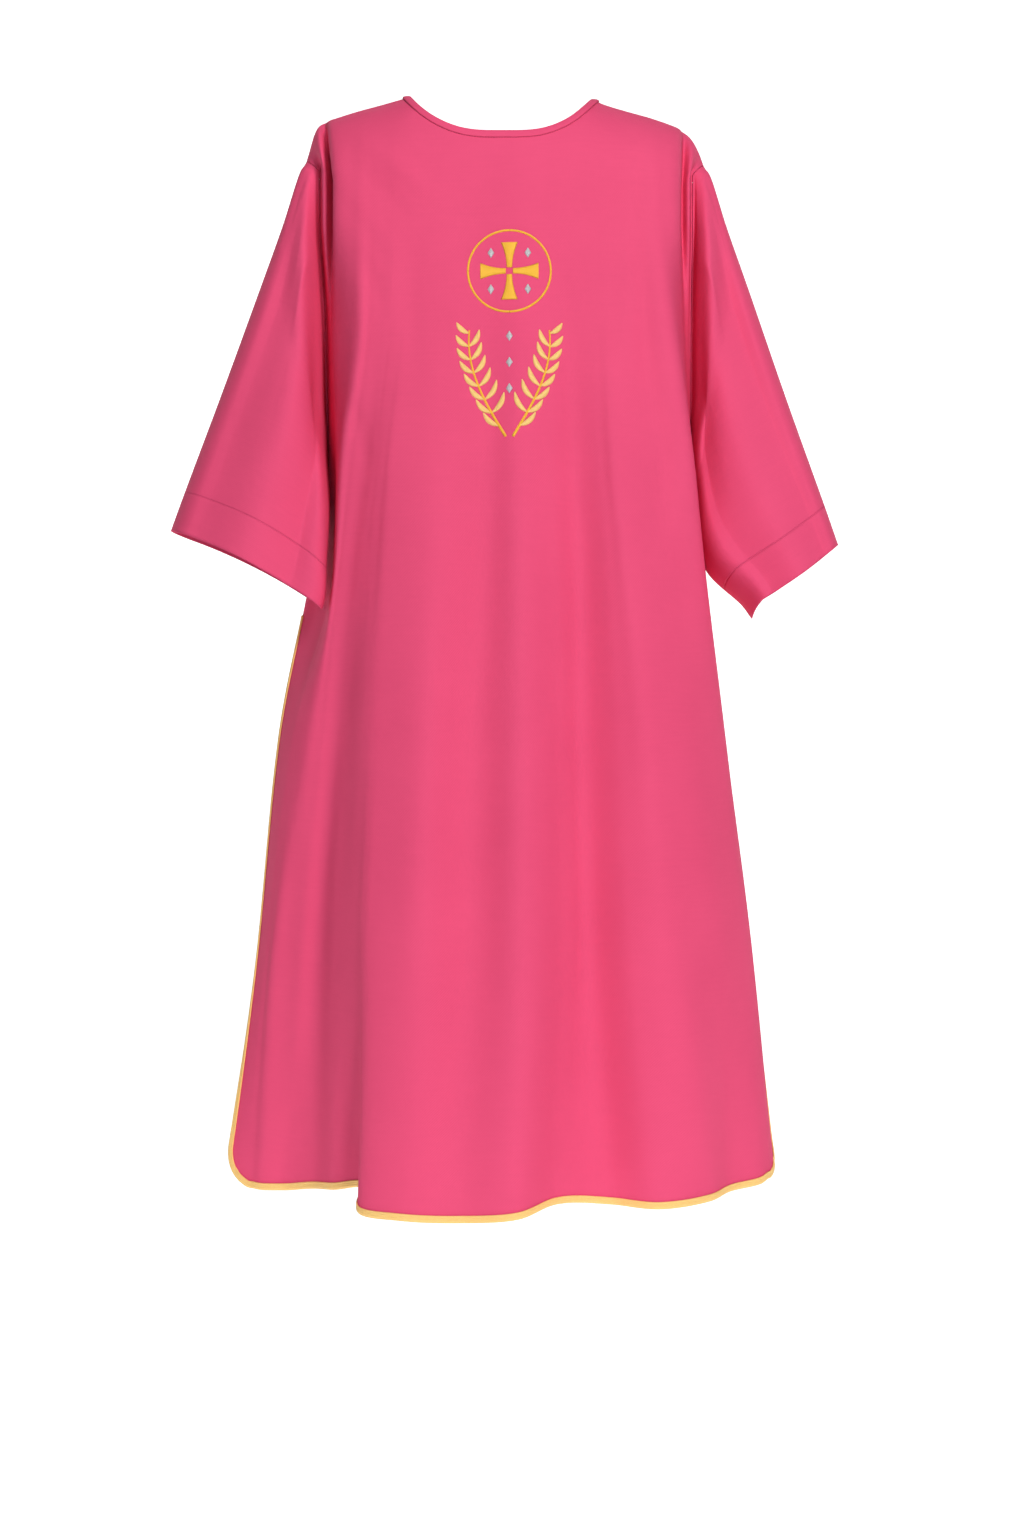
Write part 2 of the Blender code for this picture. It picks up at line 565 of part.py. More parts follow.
def edge_path(grid, normals, slit_row):
    """Edge, inner and normal arrays along a panel's slits, rounded corners and hem.

    The braid covers a share of the strip between the edge and the next line of the grid.
    """
    rows, columns = grid.shape[:2]
    low = rows - 1
    far = columns - 1
    side = range(slit_row + 1, low)
    outer = [(row, 0) for row in side] + [(low, column) for column in range(columns)]
    outer += [(row, far) for row in reversed(side)]
    inner = [grid[row, 1] for row in side]
    inner += [grid[low - 1, min(max(column, 1), far - 1)] for column in range(columns)]
    inner += [grid[row, far - 1] for row in reversed(side)]
    inner = np.array(inner)
    left = outer.index((low, 0))
    right = outer.index((low, far))
    for corner, before, after in ((left, grid[low - 2, 1], grid[low - 1, 2]),
                                  (right, grid[low - 1, far - 2], grid[low - 2, far - 1])):
        inner[corner - 1] = (inner[corner] + before) / 2
        inner[corner + 1] = (inner[corner] + after) / 2
    pick = tuple(np.array(outer).T)
    upright = normals[pick]
    for corner in (left, right):
        upright[corner] = unit(upright[corner - 1] + upright[corner + 1])
    edge = grid[pick]
    return edge, edge + (inner - edge) * BRAID_SHARE, upright


def neck_half(panel, grid, across, neck):
    """Edge, inner and normal arrays along one panel's neckline, left to right, ends included."""
    first, last = (int(np.argmin(np.abs(across - end))) for end in neck)
    rows, columns = grid.shape[:2]
    points = [Vector(point) for point in grid.reshape(-1, 3)]
    surface = BVHTree.FromPolygons(points, grid_faces(rows, columns, False, False))
    corners = grid[0, first:last + 1]
    spots = np.arange(len(corners))
    stations = np.linspace(0, len(corners) - 1, 2 * len(corners) - 1)
    edge = np.column_stack([np.interp(stations, spots, axis) for axis in corners.T])
    turn = np.interp(stations, spots, top_edge(panel, across, neck)[1][first:last + 1])
    upright = np.column_stack([0 * turn, panel.facing * np.sin(turn), np.cos(turn)])
    along = unit(np.gradient(edge, axis=0))
    inward = unit(np.cross(along, upright)) * -panel.facing
    inward[0] = unit(grid[0, first - 1] - grid[0, first])
    inward[-1] = unit(grid[0, last + 1] - grid[0, last])
    hits = [surface.find_nearest(Vector(spot)) for spot in edge + inward * NECK_BINDING_STEP]
    inner = np.array([hit[0] for hit in hits])
    normals = np.array([hit[1] for hit in hits])
    normals *= np.sign(np.sum(normals * upright, axis=1))[:, None]
    return edge, inner, unit(normals + upright)


def neck_sections(front_half, back_half):
    """Binding sections round the neckline: along the front, then back along the back."""
    joined = []
    for front_part, back_part in zip(front_half, back_half):
        left = (front_part[:1] + back_part[:1]) / 2
        right = (front_part[-1:] + back_part[-1:]) / 2
        joined.append(np.vstack([left, front_part[1:-1], right, back_part[-2:0:-1]]))
    edge, inner, normals = joined
    return binding_sections(edge, inner, unit(normals), NECK_GAP)


# ---------------------------------------------------------------- the garment
def clear_scene():
    """Remove every object from the scene."""
    for item in list(bpy.data.objects):
        bpy.data.objects.remove(item, do_unlink=True)


def build():
    """Make the seven pieces in a collection named for the garment."""
    clear_scene()
    collection = bpy.data.collections.new("Dalmatic")
    bpy.context.scene.collection.children.link(collection)
    cloth = make_material("rose_cloth", CLOTH_COLOUR, 0.72)
    braid = make_material("gold_braid", BRAID_COLOUR, 0.50)

    front = Panel(FRONT_DRAPES, -1, FRONT_NECK_REACH)
    back = Panel(BACK_DRAPES, 1, BACK_NECK_REACH)
    across_front, neck_front = column_shares(FRONT_DRAPES, front, FRONT_COLUMN_STEP)
    across_back, neck_back = column_shares(BACK_DRAPES, back, BACK_COLUMN_STEP)
    front_grid, armpit_row, slit_row = panel_grid(front, across_front, neck_front)
    back_grid = panel_grid(back, across_back, neck_back)[0]
    front_normals = grid_normals(front_grid, False, False)
    back_normals = grid_normals(back_grid, False, True)
    make_sheet("front", front_grid, False, False, cloth, collection)
    make_sheet("back", back_grid, False, True, cloth, collection)

    left = sleeve_grid(front_grid, back_grid, armpit_row, 0, LEFT_RINGS, -1, LEFT_SEAM_HOLD)
    right = sleeve_grid(front_grid, back_grid, armpit_row, -1, RIGHT_RINGS, 1,
                        RIGHT_SEAM_HOLD)
    make_sheet("sleeve_left", left, True, True, cloth, collection)
    make_sheet("sleeve_right", right, True, False, cloth, collection)

    sections = neck_sections(neck_half(front, front_grid, across_front, neck_front),
                             neck_half(back, back_grid, across_back, neck_back))
    make_binding("neck_binding", sections, True, cloth, collection)
    front_path = edge_path(front_grid, front_normals, slit_row)
    back_path = edge_path(back_grid, back_normals, slit_row)
    make_binding("front_trim", binding_sections(*front_path)[::-1], False, braid, collection)
    make_binding("back_trim", binding_sections(*back_path), False, braid, collection)


build()
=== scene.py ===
"""Looks of the dalmatic: fine draped cloth, bindings, braid, sewing and embroidery.

Every piece is made in metres in the frame of the CAD model: +Z up, +X to the viewer's right and
+Y towards the wearer's back, with the origin at the centre of the neck opening.
"""

from __future__ import annotations

import logging
import math
from dataclasses import dataclass, field
from enum import IntEnum
from typing import Callable, NamedTuple, Sequence

import bpy
import numpy as np
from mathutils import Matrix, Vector


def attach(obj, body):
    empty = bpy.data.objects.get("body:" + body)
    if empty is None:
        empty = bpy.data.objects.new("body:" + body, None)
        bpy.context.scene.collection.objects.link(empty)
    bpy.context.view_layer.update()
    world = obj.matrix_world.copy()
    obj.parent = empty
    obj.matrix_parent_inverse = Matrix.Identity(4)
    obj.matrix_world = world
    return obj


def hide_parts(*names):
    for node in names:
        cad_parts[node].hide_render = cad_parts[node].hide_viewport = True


log = logging.getLogger("dalmatic")
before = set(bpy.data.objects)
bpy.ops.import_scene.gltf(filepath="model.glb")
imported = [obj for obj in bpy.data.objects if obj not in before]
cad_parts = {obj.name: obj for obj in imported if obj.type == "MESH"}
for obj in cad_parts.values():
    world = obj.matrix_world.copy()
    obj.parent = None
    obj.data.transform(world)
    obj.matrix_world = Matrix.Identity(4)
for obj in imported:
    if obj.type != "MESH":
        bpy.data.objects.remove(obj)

Array = np.ndarray
MM = 0.001
FLOOR_Z = -1.66
UV_NAME = "flat"
TINY = 1e-12
TOLERANCE = 1e-9

# Places at which a curve is tabulated before it is read the other way round.
TABLE_LENGTH = 2001
NECK_TABLE_LENGTH = 1441
HALVINGS = 30


# ---------------------------------------------------------------- sizes and tables
@dataclass(frozen=True)
class Cut:
    """Sizes of the garment's cut, in metres.

    The origin is the neck's centre, and heights are measured from there.
    """

    hem_width: float = 0.94
    corner_radius: float = 0.045
    neck_half_width: float = 0.1074
    neck_squareness: float = 3.3
    front_neck_reach: float = 0.945
    back_neck_reach: float = 0.72
    armpit_z: float = -0.430
    slit_top_z: float = -0.600
    seam_gap: float = 0.0006
    wall: float = 0.0011
    binding_width: float = 0.0072
    trim_width: float = 0.0066
    cuff_hem: float = 0.048


CUT = Cut()

# The line over both shoulders that the panels fall from, as (x, z) in millimetres.
CREST_LINE = ((-229, -75.5), (-225, -62), (-219, -43), (-213, -33.5), (-203, -28.5),
              (-193.5, -25.9), (-170, -18.8), (-143, -11.8), (-117, -4.7), (-107.4, -2),
              (-76, 1.5), (-16, 3.5), (54, 1), (81, -1.5), (107.4, -5.5), (123, -11.3),
              (149, -18.8), (175, -25.9), (197, -33), (210, -38), (220, -45), (228.5, -57),
              (234.5, -69), (238.5, -80))

# Heights at which the drape lines are given.
LEVEL_Z = (-0.160, -0.280, -0.430, -0.560, -0.750, -1.020, -1.280)


class Facing(IntEnum):
    """Which sheet of the garment, as the sign of y on its outside."""

    FRONT = -1
    BACK = 1


class Side(IntEnum):
    """Which sleeve, seen from the front, as the sign of its x."""

    LEFT = -1
    RIGHT = 1


class Drape(NamedTuple):
    """One drape line of a panel, in millimetres.

    `across` is its share of the cloth's width, `crest` is (x, how far it falls as it rounds the
    shoulder), each height holds (x, y), and `hem` is (x, y, z).
    """

    name: str
    across: float
    crest: tuple
    chest: tuple
    ribs: tuple
    armpit: tuple
    elbow: tuple
    thigh: tuple
    knee: tuple
    hem: tuple


FRONT_DRAPES = (
    Drape("edge_l", 0.0000, (-229, 16), (-211.5, -33), (-205, -18), (-203, 0),
          (-224, 0), (-260.5, 0), (-288, 0), (-327, 0, -1278)),
    Drape("crease_l", 0.0096, (-226, 20), (-209.5, -34), (-203, -20), (-202, -9),
          (-220.5, -9), (-258, -9), (-286, -8), (-319, -5, -1279)),
    Drape("strip_l", 0.0190, (-215, 60), (-205, -62), (-200, -36), (-197.5, -26),
          (-209, -26), (-253, -25), (-282, -18), (-310.5, -10, -1280)),
    Drape("trough_l", 0.0290, (-209, 75), (-196, -48), (-197, -47), (-193, -42),
          (-199, -46), (-247, -40), (-278, -27), (-303, -14, -1280)),
    Drape("pit_l", 0.0560, (-197, 88), (-190, -96), (-191, -70), (-189.5, -68),
          (-193, -76), (-237, -62), (-272, -38), (-292, -20, -1280)),
    Drape("ridge_l", 0.0800, (-165, 100), (-166, -110), (-165, -116), (-183, -104),
          (-190, -101), (-222, -85), (-264, -52), (-280, -28, -1281)),
    Drape("face_l", 0.1080, (-146, 100), (-147, -114), (-150, -121), (-170, -112),
          (-184, -106), (-207, -93), (-236, -66), (-252, -38, -1280)),
    Drape("valley_l", 0.1460, (-130, 100), (-132, -116.4), (-138, -124), (-156, -118),
          (-172, -112), (-193, -98), (-213, -76), (-222, -60, -1275)),
    Drape("under_fold", 0.2100, (-118, 100), (-119.5, -118.6), (-126, -127), (-143, -127),
          (-158, -125), (-177, -114), (-190, -112), (-190, -102, -1270)),
    Drape("fold_rise", 0.2680, (-106, 100), (-108, -119.9), (-114, -129.2), (-131, -135),
          (-142, -140), (-155, -149), (-164, -154), (-154, -132, -1264)),
    Drape("fold_edge", 0.3260, (-92, 100), (-95, -120.9), (-101, -131.2), (-117, -142),
          (-125, -153), (-131, -168), (-144, -185), (-157, -190, -1284)),
    Drape("broad_ridge", 0.3790, (-66, 100), (-68, -121.9), (-72, -134.2), (-78, -150),
          (-80, -167), (-85, -186), (-95, -207), (-112, -214, -1288)),
    Drape("valley_mid", 0.4500, (-16, 100), (-16, -122), (-16, -133), (-16, -145),
          (-19, -154), (-28, -169), (-34, -191), (-46, -212, -1291)),
    Drape("ridge_mid", 0.5200, (23, 100), (24, -124), (23, -138), (20, -153),
          (22, -167), (24, -186), (26, -207), (19, -220, -1286)),
    Drape("flank", 0.5840, (54, 100), (56, -122.8), (56, -134), (55, -143),
          (60, -150), (66, -156), (70, -164), (62, -168, -1277)),
    Drape("valley_r", 0.6640, (81, 100), (83, -121.2), (84, -130.5), (86, -131),
          (93, -133), (98, -139), (106, -143), (124, -140, -1281)),
    Drape("swell_r", 0.7270, (107.4, 100), (104, -119.6), (107, -130.2), (113, -139),
          (124, -148), (136, -156), (150, -165), (176, -164, -1283)),
    Drape("ridge_r", 0.8050, (125, 100), (124, -117.6), (128, -129.6), (136, -143),
          (152, -150), (176, -157), (206, -158), (238, -130, -1279)),
    Drape("valley_far", 0.8660, (153, 100), (152, -113.6), (159, -125), (178, -124),
          (196, -122), (222, -117), (252, -106), (266, -84, -1274)),
    Drape("ridge_far", 0.9140, (180, 98), (184, -107.5), (198, -114), (219, -107),
          (233, -95), (258, -62), (284, -60), (302, -56, -1270)),
    Drape("pit_r", 0.9420, (207, 88), (205, -89), (210, -66), (221, -70),
          (235, -70), (261, -35), (293, -40), (312, -42, -1266)),
    Drape("trough_r", 0.9650, (216, 75), (211, -48), (214.5, -46), (221.5, -42),
          (236.5, -48), (260, -22), (295.5, -28), (317, -33, -1266)),
    Drape("strip_r", 0.9750, (224, 60), (217.5, -60), (219, -36), (222, -28),
          (237.5, -30), (258, -12), (296, -18), (320.5, -24, -1266)),
    Drape("crease_r", 0.9904, (235.5, 20), (221.5, -34), (220.5, -21), (222.5, -9),
          (238, -10), (254, -1), (294, -3), (323.5, -12, -1266)),
    Drape("edge_r", 1.0000, (238.5, 16), (223.5, -33), (222.5, -20), (223, 0),
          (238.5, 0), (252, 7), (291.5, 5), (323.5, -3, -1266)),
)

BACK_DRAPES = (
    Drape("edge_l", 0.0000, (-229, 16), (-211.5, 33), (-205, 18), (-203, 0),
          (-224, 0), (-252, 16), (-268, 22), (-292, 26, -1276)),
    Drape("crease_l", 0.0096, (-226, 20), (-209.5, 34), (-203, 20), (-202.5, 9),
          (-223.5, 10), (-251.5, 25), (-267.5, 31), (-291.5, 35, -1276)),
    Drape("tuck_l", 0.0230, (-215, 50), (-204.5, 48), (-200, 40), (-200.5, 29),
          (-220, 31), (-248, 44), (-265, 52), (-288, 54, -1276)),
    Drape("turn_l", 0.0500, (-206, 80), (-196, 66), (-198, 62), (-197, 52),
          (-211, 56), (-243, 68), (-260, 76), (-282, 78, -1276)),
    Drape("blade_l", 0.1500, (-160, 100), (-152, 106), (-156, 110), (-160, 106),
          (-168, 116), (-196, 132), (-212, 142), (-232, 148, -1278)),
    Drape("fold_l", 0.2600, (-125, 100), (-112, 118), (-112, 128), (-112, 134),
          (-116, 148), (-128, 170), (-142, 194), (-158, 214, -1282)),
    Drape("valley_l", 0.3600, (-84, 100), (-66, 116), (-66, 120), (-64, 122),
          (-66, 130), (-72, 142), (-80, 156), (-90, 166, -1280)),
    Drape("spine", 0.4900, (0, 100), (0, 112), (0, 119), (0, 129),
          (0, 143), (2, 166), (4, 190), (6, 208, -1284)),
    Drape("valley_r", 0.6200, (84, 100), (66, 116), (66, 120), (66, 122),
          (70, 129), (76, 140), (84, 154), (94, 164, -1280)),
    Drape("fold_r", 0.7300, (127, 100), (114, 118), (114, 128), (118, 134),
          (124, 148), (136, 170), (152, 192), (168, 210, -1281)),
    Drape("blade_r", 0.8500, (166, 100), (158, 106), (162, 110), (172, 106),
          (184, 116), (206, 134), (226, 148), (246, 154, -1275)),
    Drape("turn_r", 0.9500, (214, 80), (208, 66), (211, 62), (217, 52),
          (231, 56), (250, 78), (274, 90), (294, 100, -1270)),
    Drape("tuck_r", 0.9770, (224, 50), (216.5, 48), (217, 40), (220.5, 29),
          (236, 31), (252.5, 54), (278, 66), (298, 78, -1269)),
    Drape("crease_r", 0.9904, (235.5, 20), (221.5, 34), (220.5, 21), (222.5, 9),
          (238, 10), (252.5, 32), (279, 44), (299.5, 58, -1269)),
    Drape("edge_r", 1.0000, (238.5, 16), (223.5, 33), (222.5, 20), (223, 0),
          (238.5, 0), (252.5, 23), (279.5, 35), (300, 49, -1269)),
)


class Ring(NamedTuple):
    """One ring of a sleeve past its armhole, in millimetres.

    `along` is its share of the way to the cuff, `top` the folded top edge and `under` the
    underarm seam; `front` and `back` are how far the walls stand off the line between them near
    the top, in the middle and near the seam, `dip` is how far the seam drops below it, and
    `rise` is how far the middle of the walls is lifted.
    """

    along: float
    top: tuple
    under: tuple
    front: tuple
    back: tuple
    dip: float
    rise: float


class Head(NamedTuple):
    """One ring of a sleeve's head: its share along, and its standing away and opening (mm)."""

    along: float
    away: float
    opening: float


LEFT_RINGS = (
    Ring(0.32, (-271, 0, -192), (-199, -52, -478), (52, 64, 36), (44, 60, 46), 0, 0),
    Ring(0.66, (-330, -6, -356), (-200.5, -88, -550), (54, 62, 26), (46, 66, 52), 1, 3),
    Ring(0.90, (-375, -16, -480), (-202, -95, -592), (54, 60, 24), (46, 66, 50), 2, 6),
    Ring(1.00, (-386, -20, -512), (-205, -97, -604), (52, 58, 23), (46, 64, 46), 3, 8),
)
RIGHT_RINGS = (
    Ring(0.32, (279, 0, -192), (227, 2, -474), (52, 70, 52), (44, 58, 46), 2, 0),
    Ring(0.66, (337, -6, -362), (242, -14, -552), (56, 74, 58), (46, 62, 46), 6, -1),
    Ring(0.90, (382, -16, -492), (284, -24, -588), (54, 72, 58), (46, 60, 44), 12, -3),
    Ring(1.00, (394, -20, -528), (294, -25, -599), (52, 70, 56), (46, 58, 42), 15, -4),
)
SLEEVE_HEAD = (Head(0.0, 0.0, 0.0), Head(0.012, 2.2, 0.0), Head(0.045, 4.9, 16.0),
               Head(0.10, 11.8, 36.0))


class Crease(NamedTuple):
    """One soft trough (negative height) or ridge in the cloth.

    `start`, `middle` and `end` are (x, z) in millimetres on the panel, or (share round, share
    along) in thousandths on a sleeve; `width` is the half width at half height and `height` the
    most that the cloth moves, both in millimetres.
    """

    start: tuple
    middle: tuple
    end: tuple
    width: float
    height: float


# Straight lengths that a crease's curve is read in, the half widths past which it adds nothing,
# and how fully it keeps its height towards its ends (less is fuller).
CREASE_LENGTHS = 24
CREASE_REACH = 3.2
CREASE_FULLNESS = 0.8


# ---------------------------------------------------------------- curves
def slopes_through(steps: Array, chords: Array, even: bool) -> Array:
    """Slopes of a cubic curve at its knots.

    Args:
        steps: Distances between knots, (n - 1,) with trailing ones to match `chords`.
        chords: Rise over run between knots.
        even: Whether the curve is kept from passing beyond its knots.

    Returns:
        One slope for each knot.
    """
    slopes = np.concatenate([chords[:1], np.zeros_like(chords[1:]), chords[-1:]])
    before, after = steps[:-1], steps[1:]
    left, right = chords[:-1], chords[1:]
    if not even:
        slopes[1:-1] = (left * after + right * before) / (before + after)
        return slopes
    same_way = left * right > 0
    first, second = np.where(same_way, left, 1), np.where(same_way, right, 1)
    near, far = 2 * after + before, after + 2 * before
    slopes[1:-1] = np.where(same_way, (near + far) / (near / first + far / second), 0)
    return slopes


def smooth_through(knots: Sequence[float], values: Array, wanted: Array,
                   even: bool = False, own: bool = False) -> Array:
    """Cubic curve through `values` at `knots`, read at `wanted`.

    Args:
        knots: Increasing places of the values.
        values: Values, with the knots along the first axis.
        wanted: Places to read, one dimension.
        even: Whether the curve is kept from passing beyond its knots.
        own: Whether each wanted place has its own curve, along the second axis of `values`.

    Returns:
        The values read, with the wanted places along the first axis.
    """
    knots, values = np.asarray(knots, float), np.asarray(values, float)
    wanted = np.clip(np.asarray(wanted, float), knots[0], knots[-1])
    steps = np.diff(knots).reshape((-1,) + (1,) * (values.ndim - 1))
    slopes = slopes_through(steps, np.diff(values, axis=0) / steps, even)
    cell = np.clip(np.searchsorted(knots, wanted, side="right") - 1, 0, len(knots) - 2)
    low = (cell, np.arange(len(wanted))) if own else (cell,)
    high = (cell + 1, *low[1:])
    tail = (1,) * (values[low].ndim - 1)
    width = np.diff(knots)[cell].reshape((-1,) + tail)
    t = (wanted - knots[cell]).reshape((-1,) + tail) / width
    start = values[low] * (1 + 2 * t) * (1 - t) ** 2 + slopes[low] * width * t * (1 - t) ** 2
    end = values[high] * t * t * (3 - 2 * t) - slopes[high] * width * t * t * (1 - t)
    return start + end


def unit(vectors: Array) -> Array:
    """The same directions with length one."""
    return vectors / np.maximum(np.linalg.norm(vectors, axis=-1, keepdims=True), TINY)


def ease(share: Array) -> Array:
    """0 below 0, 1 above 1, and a smooth step between."""
    t = np.clip(share, 0, 1)
    return t * t * (3 - 2 * t)


def run_along(points: Array) -> Array:
    """Length run from the first point to each point of a line."""
    steps = np.linalg.norm(np.diff(points, axis=0), axis=-1)
    return np.concatenate([np.zeros_like(steps[:1]), np.cumsum(steps, axis=0)])


def read_line(wanted: Array, run: Array, line: Array) -> Array:
    """Points of a line, whose lengths run are `run`, at the `wanted` lengths."""
    return np.stack([np.interp(wanted, run, axis) for axis in line.T], axis=-1)


def carry(profile: Sequence[tuple], path: Array, sideways: Array, normals: Array) -> Array:
    """Rings of points: a profile of (sideways, outwards) places carried along a path."""
    return np.stack([path + sideways * depth + normals * height for depth, height in profile],
                    axis=1)


def crease_height(creases: Sequence[Crease], across: Array, along: Array,
                  scale: float = MM) -> Array:
    """Height that a set of creases adds at places on a sheet.

    Each crease follows a curve with one middle control point.  Its height fades with the
    distance from that curve as a bell, and rises and falls along it as half a sine wave.

    Args:
        creases: The creases.
        across: First coordinate of each place.
        along: Second coordinate of each place.
        scale: Metres in one unit of a crease's places.

    Returns:
        Heights in metres, in the shape of `across`.
    """
    total = np.zeros_like(across)
    share = np.linspace(0, 1, CREASE_LENGTHS + 1)[:, None]
    for crease in creases:
        a, b, c = (np.array(spot, float) * scale for spot in crease[:3])
        line = a * (1 - share) ** 2 + 2 * b * share * (1 - share) + c * share ** 2
        reach = crease.width * MM * CREASE_REACH
        low, high = line.min(0) - reach, line.max(0) + reach
        near = (across > low[0]) & (across < high[0]) & (along > low[1]) & (along < high[1])
        if not near.any():
            continue
        spots = np.column_stack([across[near], along[near]])
        best = np.full(len(spots), np.inf)
        place = np.zeros(len(spots))
        for number in range(CREASE_LENGTHS):
            step = line[number + 1] - line[number]
            t = np.clip((spots - line[number]) @ step / (step @ step), 0, 1)
            gap = np.linalg.norm(spots - line[number] - t[:, None] * step, axis=1)
            closer = gap < best
            best = np.where(closer, gap, best)
            place = np.where(closer, (number + t) / CREASE_LENGTHS, place)
        bell = np.exp(-math.log(2) * (best / (crease.width * MM)) ** 2)
        total[near] += crease.height * MM * bell * np.sin(math.pi * place) ** CREASE_FULLNESS
    return total


# ---------------------------------------------------------------- surfaces and meshes
@dataclass
class Sheet:
    """A grid of points with its places on the flat cloth.

    Attributes:
        points: Points, (rows, columns, 3), rows running down the garment.
        flat: Places on the flat cloth in metres, with one column more when closed.
        closed: Whether the last column joins the first.
        flipped: Whether the outside is on the other side of the grid.
    """

    points: Array
    flat: Array
    closed: bool = False
    flipped: bool = False

    def normals(self) -> Array:
        """Unit normals pointing out of the garment.

        Returns:
            One normal for each point.
        """
        if self.closed:
            around = np.roll(self.points, -1, axis=1) - np.roll(self.points, 1, axis=1)
        else:
            around = np.gradient(self.points, axis=1)
        normals = unit(np.cross(np.gradient(self.points, axis=0), around))
        return -normals if self.flipped else normals

    def corners(self) -> tuple[Array, Array]:
        """Point numbers, and flat-place numbers, of the corners of each quad.

        Returns:
            Two arrays with four numbers for each quad.
        """
        rows, columns = self.points.shape[:2]
        span = columns if self.closed else columns - 1
        row, column = np.meshgrid(np.arange(rows - 1), np.arange(span), indexing="ij")
        down, right = (0, 1, 1, 0), (0, 0, 1, 1)
        order = slice(None, None, -1) if self.flipped else slice(None)
        quads = np.stack([(row + d) * columns + (column + r) % columns
                          for d, r in zip(down, right)], axis=-1).reshape(-1, 4)[:, order]
        wide = self.flat.shape[1]
        places = np.stack([(row + d) * wide + column + r
                           for d, r in zip(down, right)], axis=-1).reshape(-1, 4)[:, order]
        return quads, places

    def build(self, name: str, material: bpy.types.Material) -> bpy.types.Object:
        """Make the sheet as an object with the cloth's wall, half of it on each side.

        Args:
            name: Name of the object.
            material: The finish.

        Returns:
            The object.
        """
        quads, places = self.corners()
        piece = make_object(name, self.points.reshape(-1, 3), quads,
                            self.flat.reshape(-1, 2)[places.ravel()], material)
        shell = piece.modifiers.new("Wall", "SOLIDIFY")
        shell.thickness = CUT.wall
        shell.offset = 0.0
        shell.use_quality_normals = True
        return piece


def make_object(name: str, points: Array, faces: Array | list, uv: Array,
                material: bpy.types.Material) -> bpy.types.Object:
    """A smooth object with one UV map, riding on the garment's body.

    Args:
        name: Name of the object.
        points: Points, (n, 3).
        faces: Point numbers of each face.
        uv: Flat place of each face corner, in metres.
        material: The finish.

    Returns:
        The object, linked to the scene.
    """
    mesh = bpy.data.meshes.new(name)
    mesh.from_pydata(points.tolist(), [], faces.tolist() if isinstance(faces, Array) else faces)
    layer = mesh.uv_layers.new(name=UV_NAME)
    layer.data.foreach_set("uv", np.asarray(uv, np.float32).ravel())
    mesh.shade_smooth()
    mesh.materials.append(material)
    piece = bpy.data.objects.new(name, mesh)
    bpy.context.scene.collection.objects.link(piece)
    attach(piece, "root")
    return piece


def sweep(name: str, sections: Array, closed: bool,
          material: bpy.types.Material) -> bpy.types.Object:
    """A closed body lofted through rings of points.

    Args:
        name: Name of the object.
        sections: Rings, (stations, corners, 3).
        closed: Whether the last ring joins the first; otherwise the ends are capped.
        material: The finish.

    Returns:
        The object.
    """
    count, corners = sections.shape[:2]
    spans = count if closed else count - 1
    station, corner = np.meshgrid(np.arange(spans), np.arange(corners), indexing="ij")
    steps = ((0, 0), (1, 0), (1, 1), (0, 1))
    quads = np.stack([(station + s) % count * corners + (corner + c) % corners
                      for s, c in steps], axis=-1).reshape(-1, 4)
    centre = sections.mean(axis=1)
    run = run_along(np.vstack([centre, centre[:1]]))
    girth = run_along(np.vstack([sections[0], sections[0, :1]]))
    uv = np.stack([np.stack([run[station + s], girth[corner + c]], axis=-1)
                   for s, c in steps], axis=-2).reshape(-1, 2)
    faces = quads.tolist()
    if not closed:
        last = (count - 1) * corners
        faces += [list(range(corners)), list(range(last + corners - 1, last - 1, -1))]
        uv = np.vstack([uv, np.zeros((2 * corners, 2))])
    return make_object(name, sections.reshape(-1, 3), faces, uv, material)


# ---------------------------------------------------------------- shader building
def maths(operation: str, swapped: bool = False) -> Callable[[Shade, Shade | float], Shade]:
    """An operator method for shader values.

    Args:
        operation: The maths node's operation.
        swapped: Whether the other value comes first.

    Returns:
        The method.
    """
    def operator(self: Shade, other: Shade | float) -> Shade:
        """The result of the operation on the two values."""
        pair = (other, self) if swapped else (self, other)
        return self.graph.add("ShaderNodeMath", {"operation": operation}, dict(enumerate(pair)))
    return operator


class Shade:
    """A shader value that sums, differences, products and quotients can be written with."""

    def __init__(self, graph: Graph, socket: bpy.types.NodeSocket) -> None:
        """Hold `socket` of `graph`."""
        self.graph = graph
        self.socket = socket

    __add__, __radd__ = maths("ADD"), maths("ADD", True)
    __sub__, __rsub__ = maths("SUBTRACT"), maths("SUBTRACT", True)
    __mul__, __rmul__ = maths("MULTIPLY"), maths("MULTIPLY", True)
    __truediv__, __rtruediv__ = maths("DIVIDE"), maths("DIVIDE", True)

    def sine(self) -> Shade:
        """Sine of the value."""
        return self.graph.add("ShaderNodeMath", {"operation": "SINE"}, {0: self})

    def absolute(self) -> Shade:
        """The value without its sign."""
        return self.graph.add("ShaderNodeMath", {"operation": "ABSOLUTE"}, {0: self})

    def clamp(self) -> Shade:
        """The value kept between 0 and 1."""
        return self.graph.add("ShaderNodeClamp", {}, {"Value": self})


